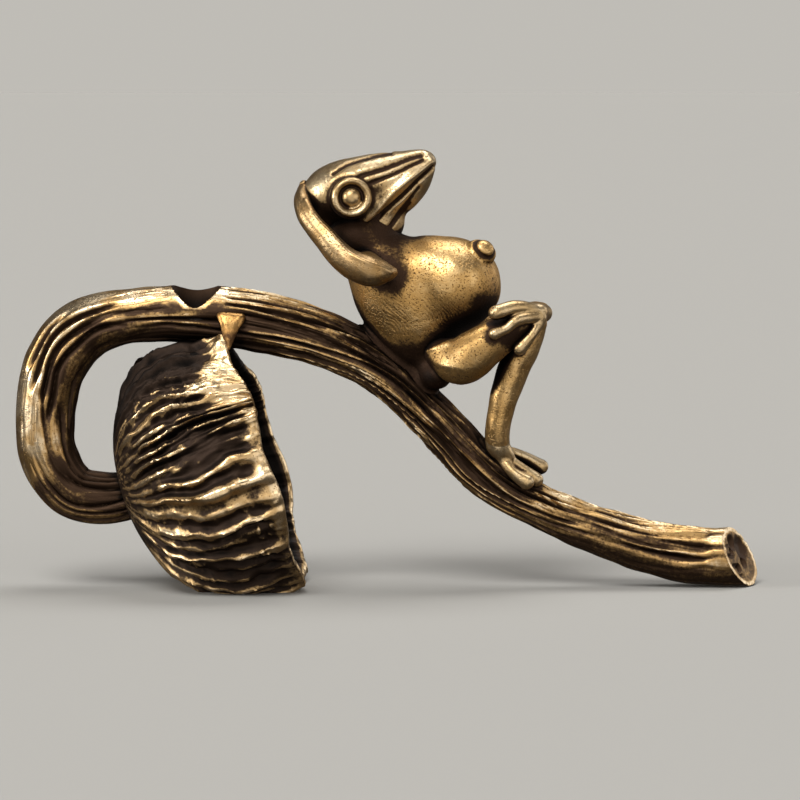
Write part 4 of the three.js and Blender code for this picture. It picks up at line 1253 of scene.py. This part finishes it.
places = {name: column(piece.data.vertices, "co", 3) / MM for name, piece in castings.items()}
boxes = {name: (places[name].min(0), places[name].max(0)) for name in forms}
for name, piece in castings.items():
    spots = places[name]
    ways = column(piece.data.vertices, "normal", 3)
    closed_in = np.zeros(len(spots))
    for reach, weight in CREASE_PROBE_REACHES:
        probe = spots + reach * ways
        room = np.full(len(spots), reach)
        for other, form in forms.items():
            if other == "frog_skull" and "eyeball" in name:
                continue
            low, high = boxes[other]
            near = ((probe > low - reach) & (probe < high + reach)).all(1)
            if near.any():
                room[near] = np.minimum(room[near], form(probe[near]))
        closed_in += weight * np.clip(1 - room / reach, 0, 1)
    patina_and_shade = SEED_PATINA_AND_SHADE if "seed" in name else PIECE_PATINA_AND_SHADE.get(name, PATINA_AND_SHADE)
    carried = piece.data.attributes["relief"].data
    relief = np.minimum(column(carried, "value", 1)[:, 0], 1)
    relief = relief * (1 - np.clip(patina_and_shade * (closed_in - 0.06), 0, 1))
    # The most closed-in spots go below 0: painted black shade.
    relief = relief - 0.8 * np.clip(1.6 * patina_and_shade * (closed_in - 0.65), 0, 1)
    carried.foreach_set("value", relief.astype(np.float32))

# The stage: a plain pale floor, a backdrop of the same tone and six soft studio lights.
# The camera stands in front of the near side, a little above the floor.

FLOOR_HALF = 8
floor_corners = [(x * FLOOR_HALF, y * FLOOR_HALF, 0) for x, y in ((-1, -1), (1, -1), (1, 1), (-1, 1))]
floor_mesh = bpy.data.meshes.new("floor")
floor_mesh.from_pydata(floor_corners, [], [(0, 1, 2, 3)])
floor = bpy.data.objects.new("floor", floor_mesh)
bpy.context.collection.objects.link(floor)
floor_finish = bpy.data.materials.new("pale floor")
floor_finish.use_nodes = True
floor_shader = floor_finish.node_tree.nodes["Principled BSDF"]
floor_shader.inputs["Base Color"].default_value = (0.325, 0.322, 0.3086, 1)
floor_shader.inputs["Roughness"].default_value = 0.9
floor_shader.inputs["Specular IOR Level"].default_value = 0.0
floor_mesh.materials.append(floor_finish)
floor.visible_glossy = False

BACKDROP = (0.523, 0.505, 0.468, 1)
ROOM = (0.09, 0.08, 0.072, 1)
world = bpy.data.worlds.new("studio")
world.use_nodes = True
nodes, link = world.node_tree.nodes, world.node_tree.links.new
seen = nodes.new("ShaderNodeLightPath")
tone = nodes.new("ShaderNodeMix")
tone.data_type = "RGBA"
tone.inputs[6].default_value = ROOM
tone.inputs[7].default_value = BACKDROP
link(seen.outputs["Is Camera Ray"], tone.inputs[0])
link(tone.outputs[2], nodes["Background"].inputs["Color"])
bpy.context.scene.world = world
bpy.context.scene.view_settings.view_transform = "Standard"

# Lights: name, where each comes from, its spread in degrees, power and colour.
LIGHTS = [
    ("key", (-0.3, -0.75, 1.0), 28, 2.5, (1.0, 0.98, 0.95)),
    ("top", (0.2, 0.3, 1.0), 38, 1.7, (1.0, 0.98, 0.96)),
    ("left", (-1.0, -0.35, 0.3), 32, 2.3, (1.0, 0.98, 0.95)),
    ("front", (0.1, -1.0, 0.12), 75, 1.25, (1.0, 0.96, 0.9)),
    ("right", (1.0, -0.6, 0.3), 45, 0.7, (1.0, 0.97, 0.93)),
    ("behind", (1.0, 0.55, 0.35), 40, 0.6, (1.0, 0.97, 0.93)),
]
for name, place, spread_degrees, power, colour in LIGHTS:
    lamp = bpy.data.lights.new(name, "SUN")
    lamp.angle = math.radians(spread_degrees)
    lamp.energy = power
    lamp.color = colour
    light = bpy.data.objects.new(name, lamp)
    light.location = place
    light.rotation_euler = (-Vector(place)).to_track_quat("-Z", "Y").to_euler()
    bpy.context.collection.objects.link(light)

PICTURE_PIXELS = 800
PIXEL = 0.08808 * MM
VIEW_DISTANCE = 0.37
VIEW_LIFT = math.radians(4.5)
VIEW_AIM = Vector((0.00123, 0, 0.01652))
SENSOR = 36
lens = bpy.data.cameras.new("camera")
lens.sensor_width = SENSOR
lens.lens = SENSOR * VIEW_DISTANCE / (PICTURE_PIXELS * PIXEL)
lens.clip_start = 0.01
camera = bpy.data.objects.new("camera", lens)
camera.location = VIEW_AIM + VIEW_DISTANCE * Vector((0, -math.cos(VIEW_LIFT), math.sin(VIEW_LIFT)))
camera.rotation_euler = (VIEW_AIM - camera.location).to_track_quat("-Z", "Y").to_euler()
bpy.context.collection.objects.link(camera)
bpy.context.scene.camera = camera
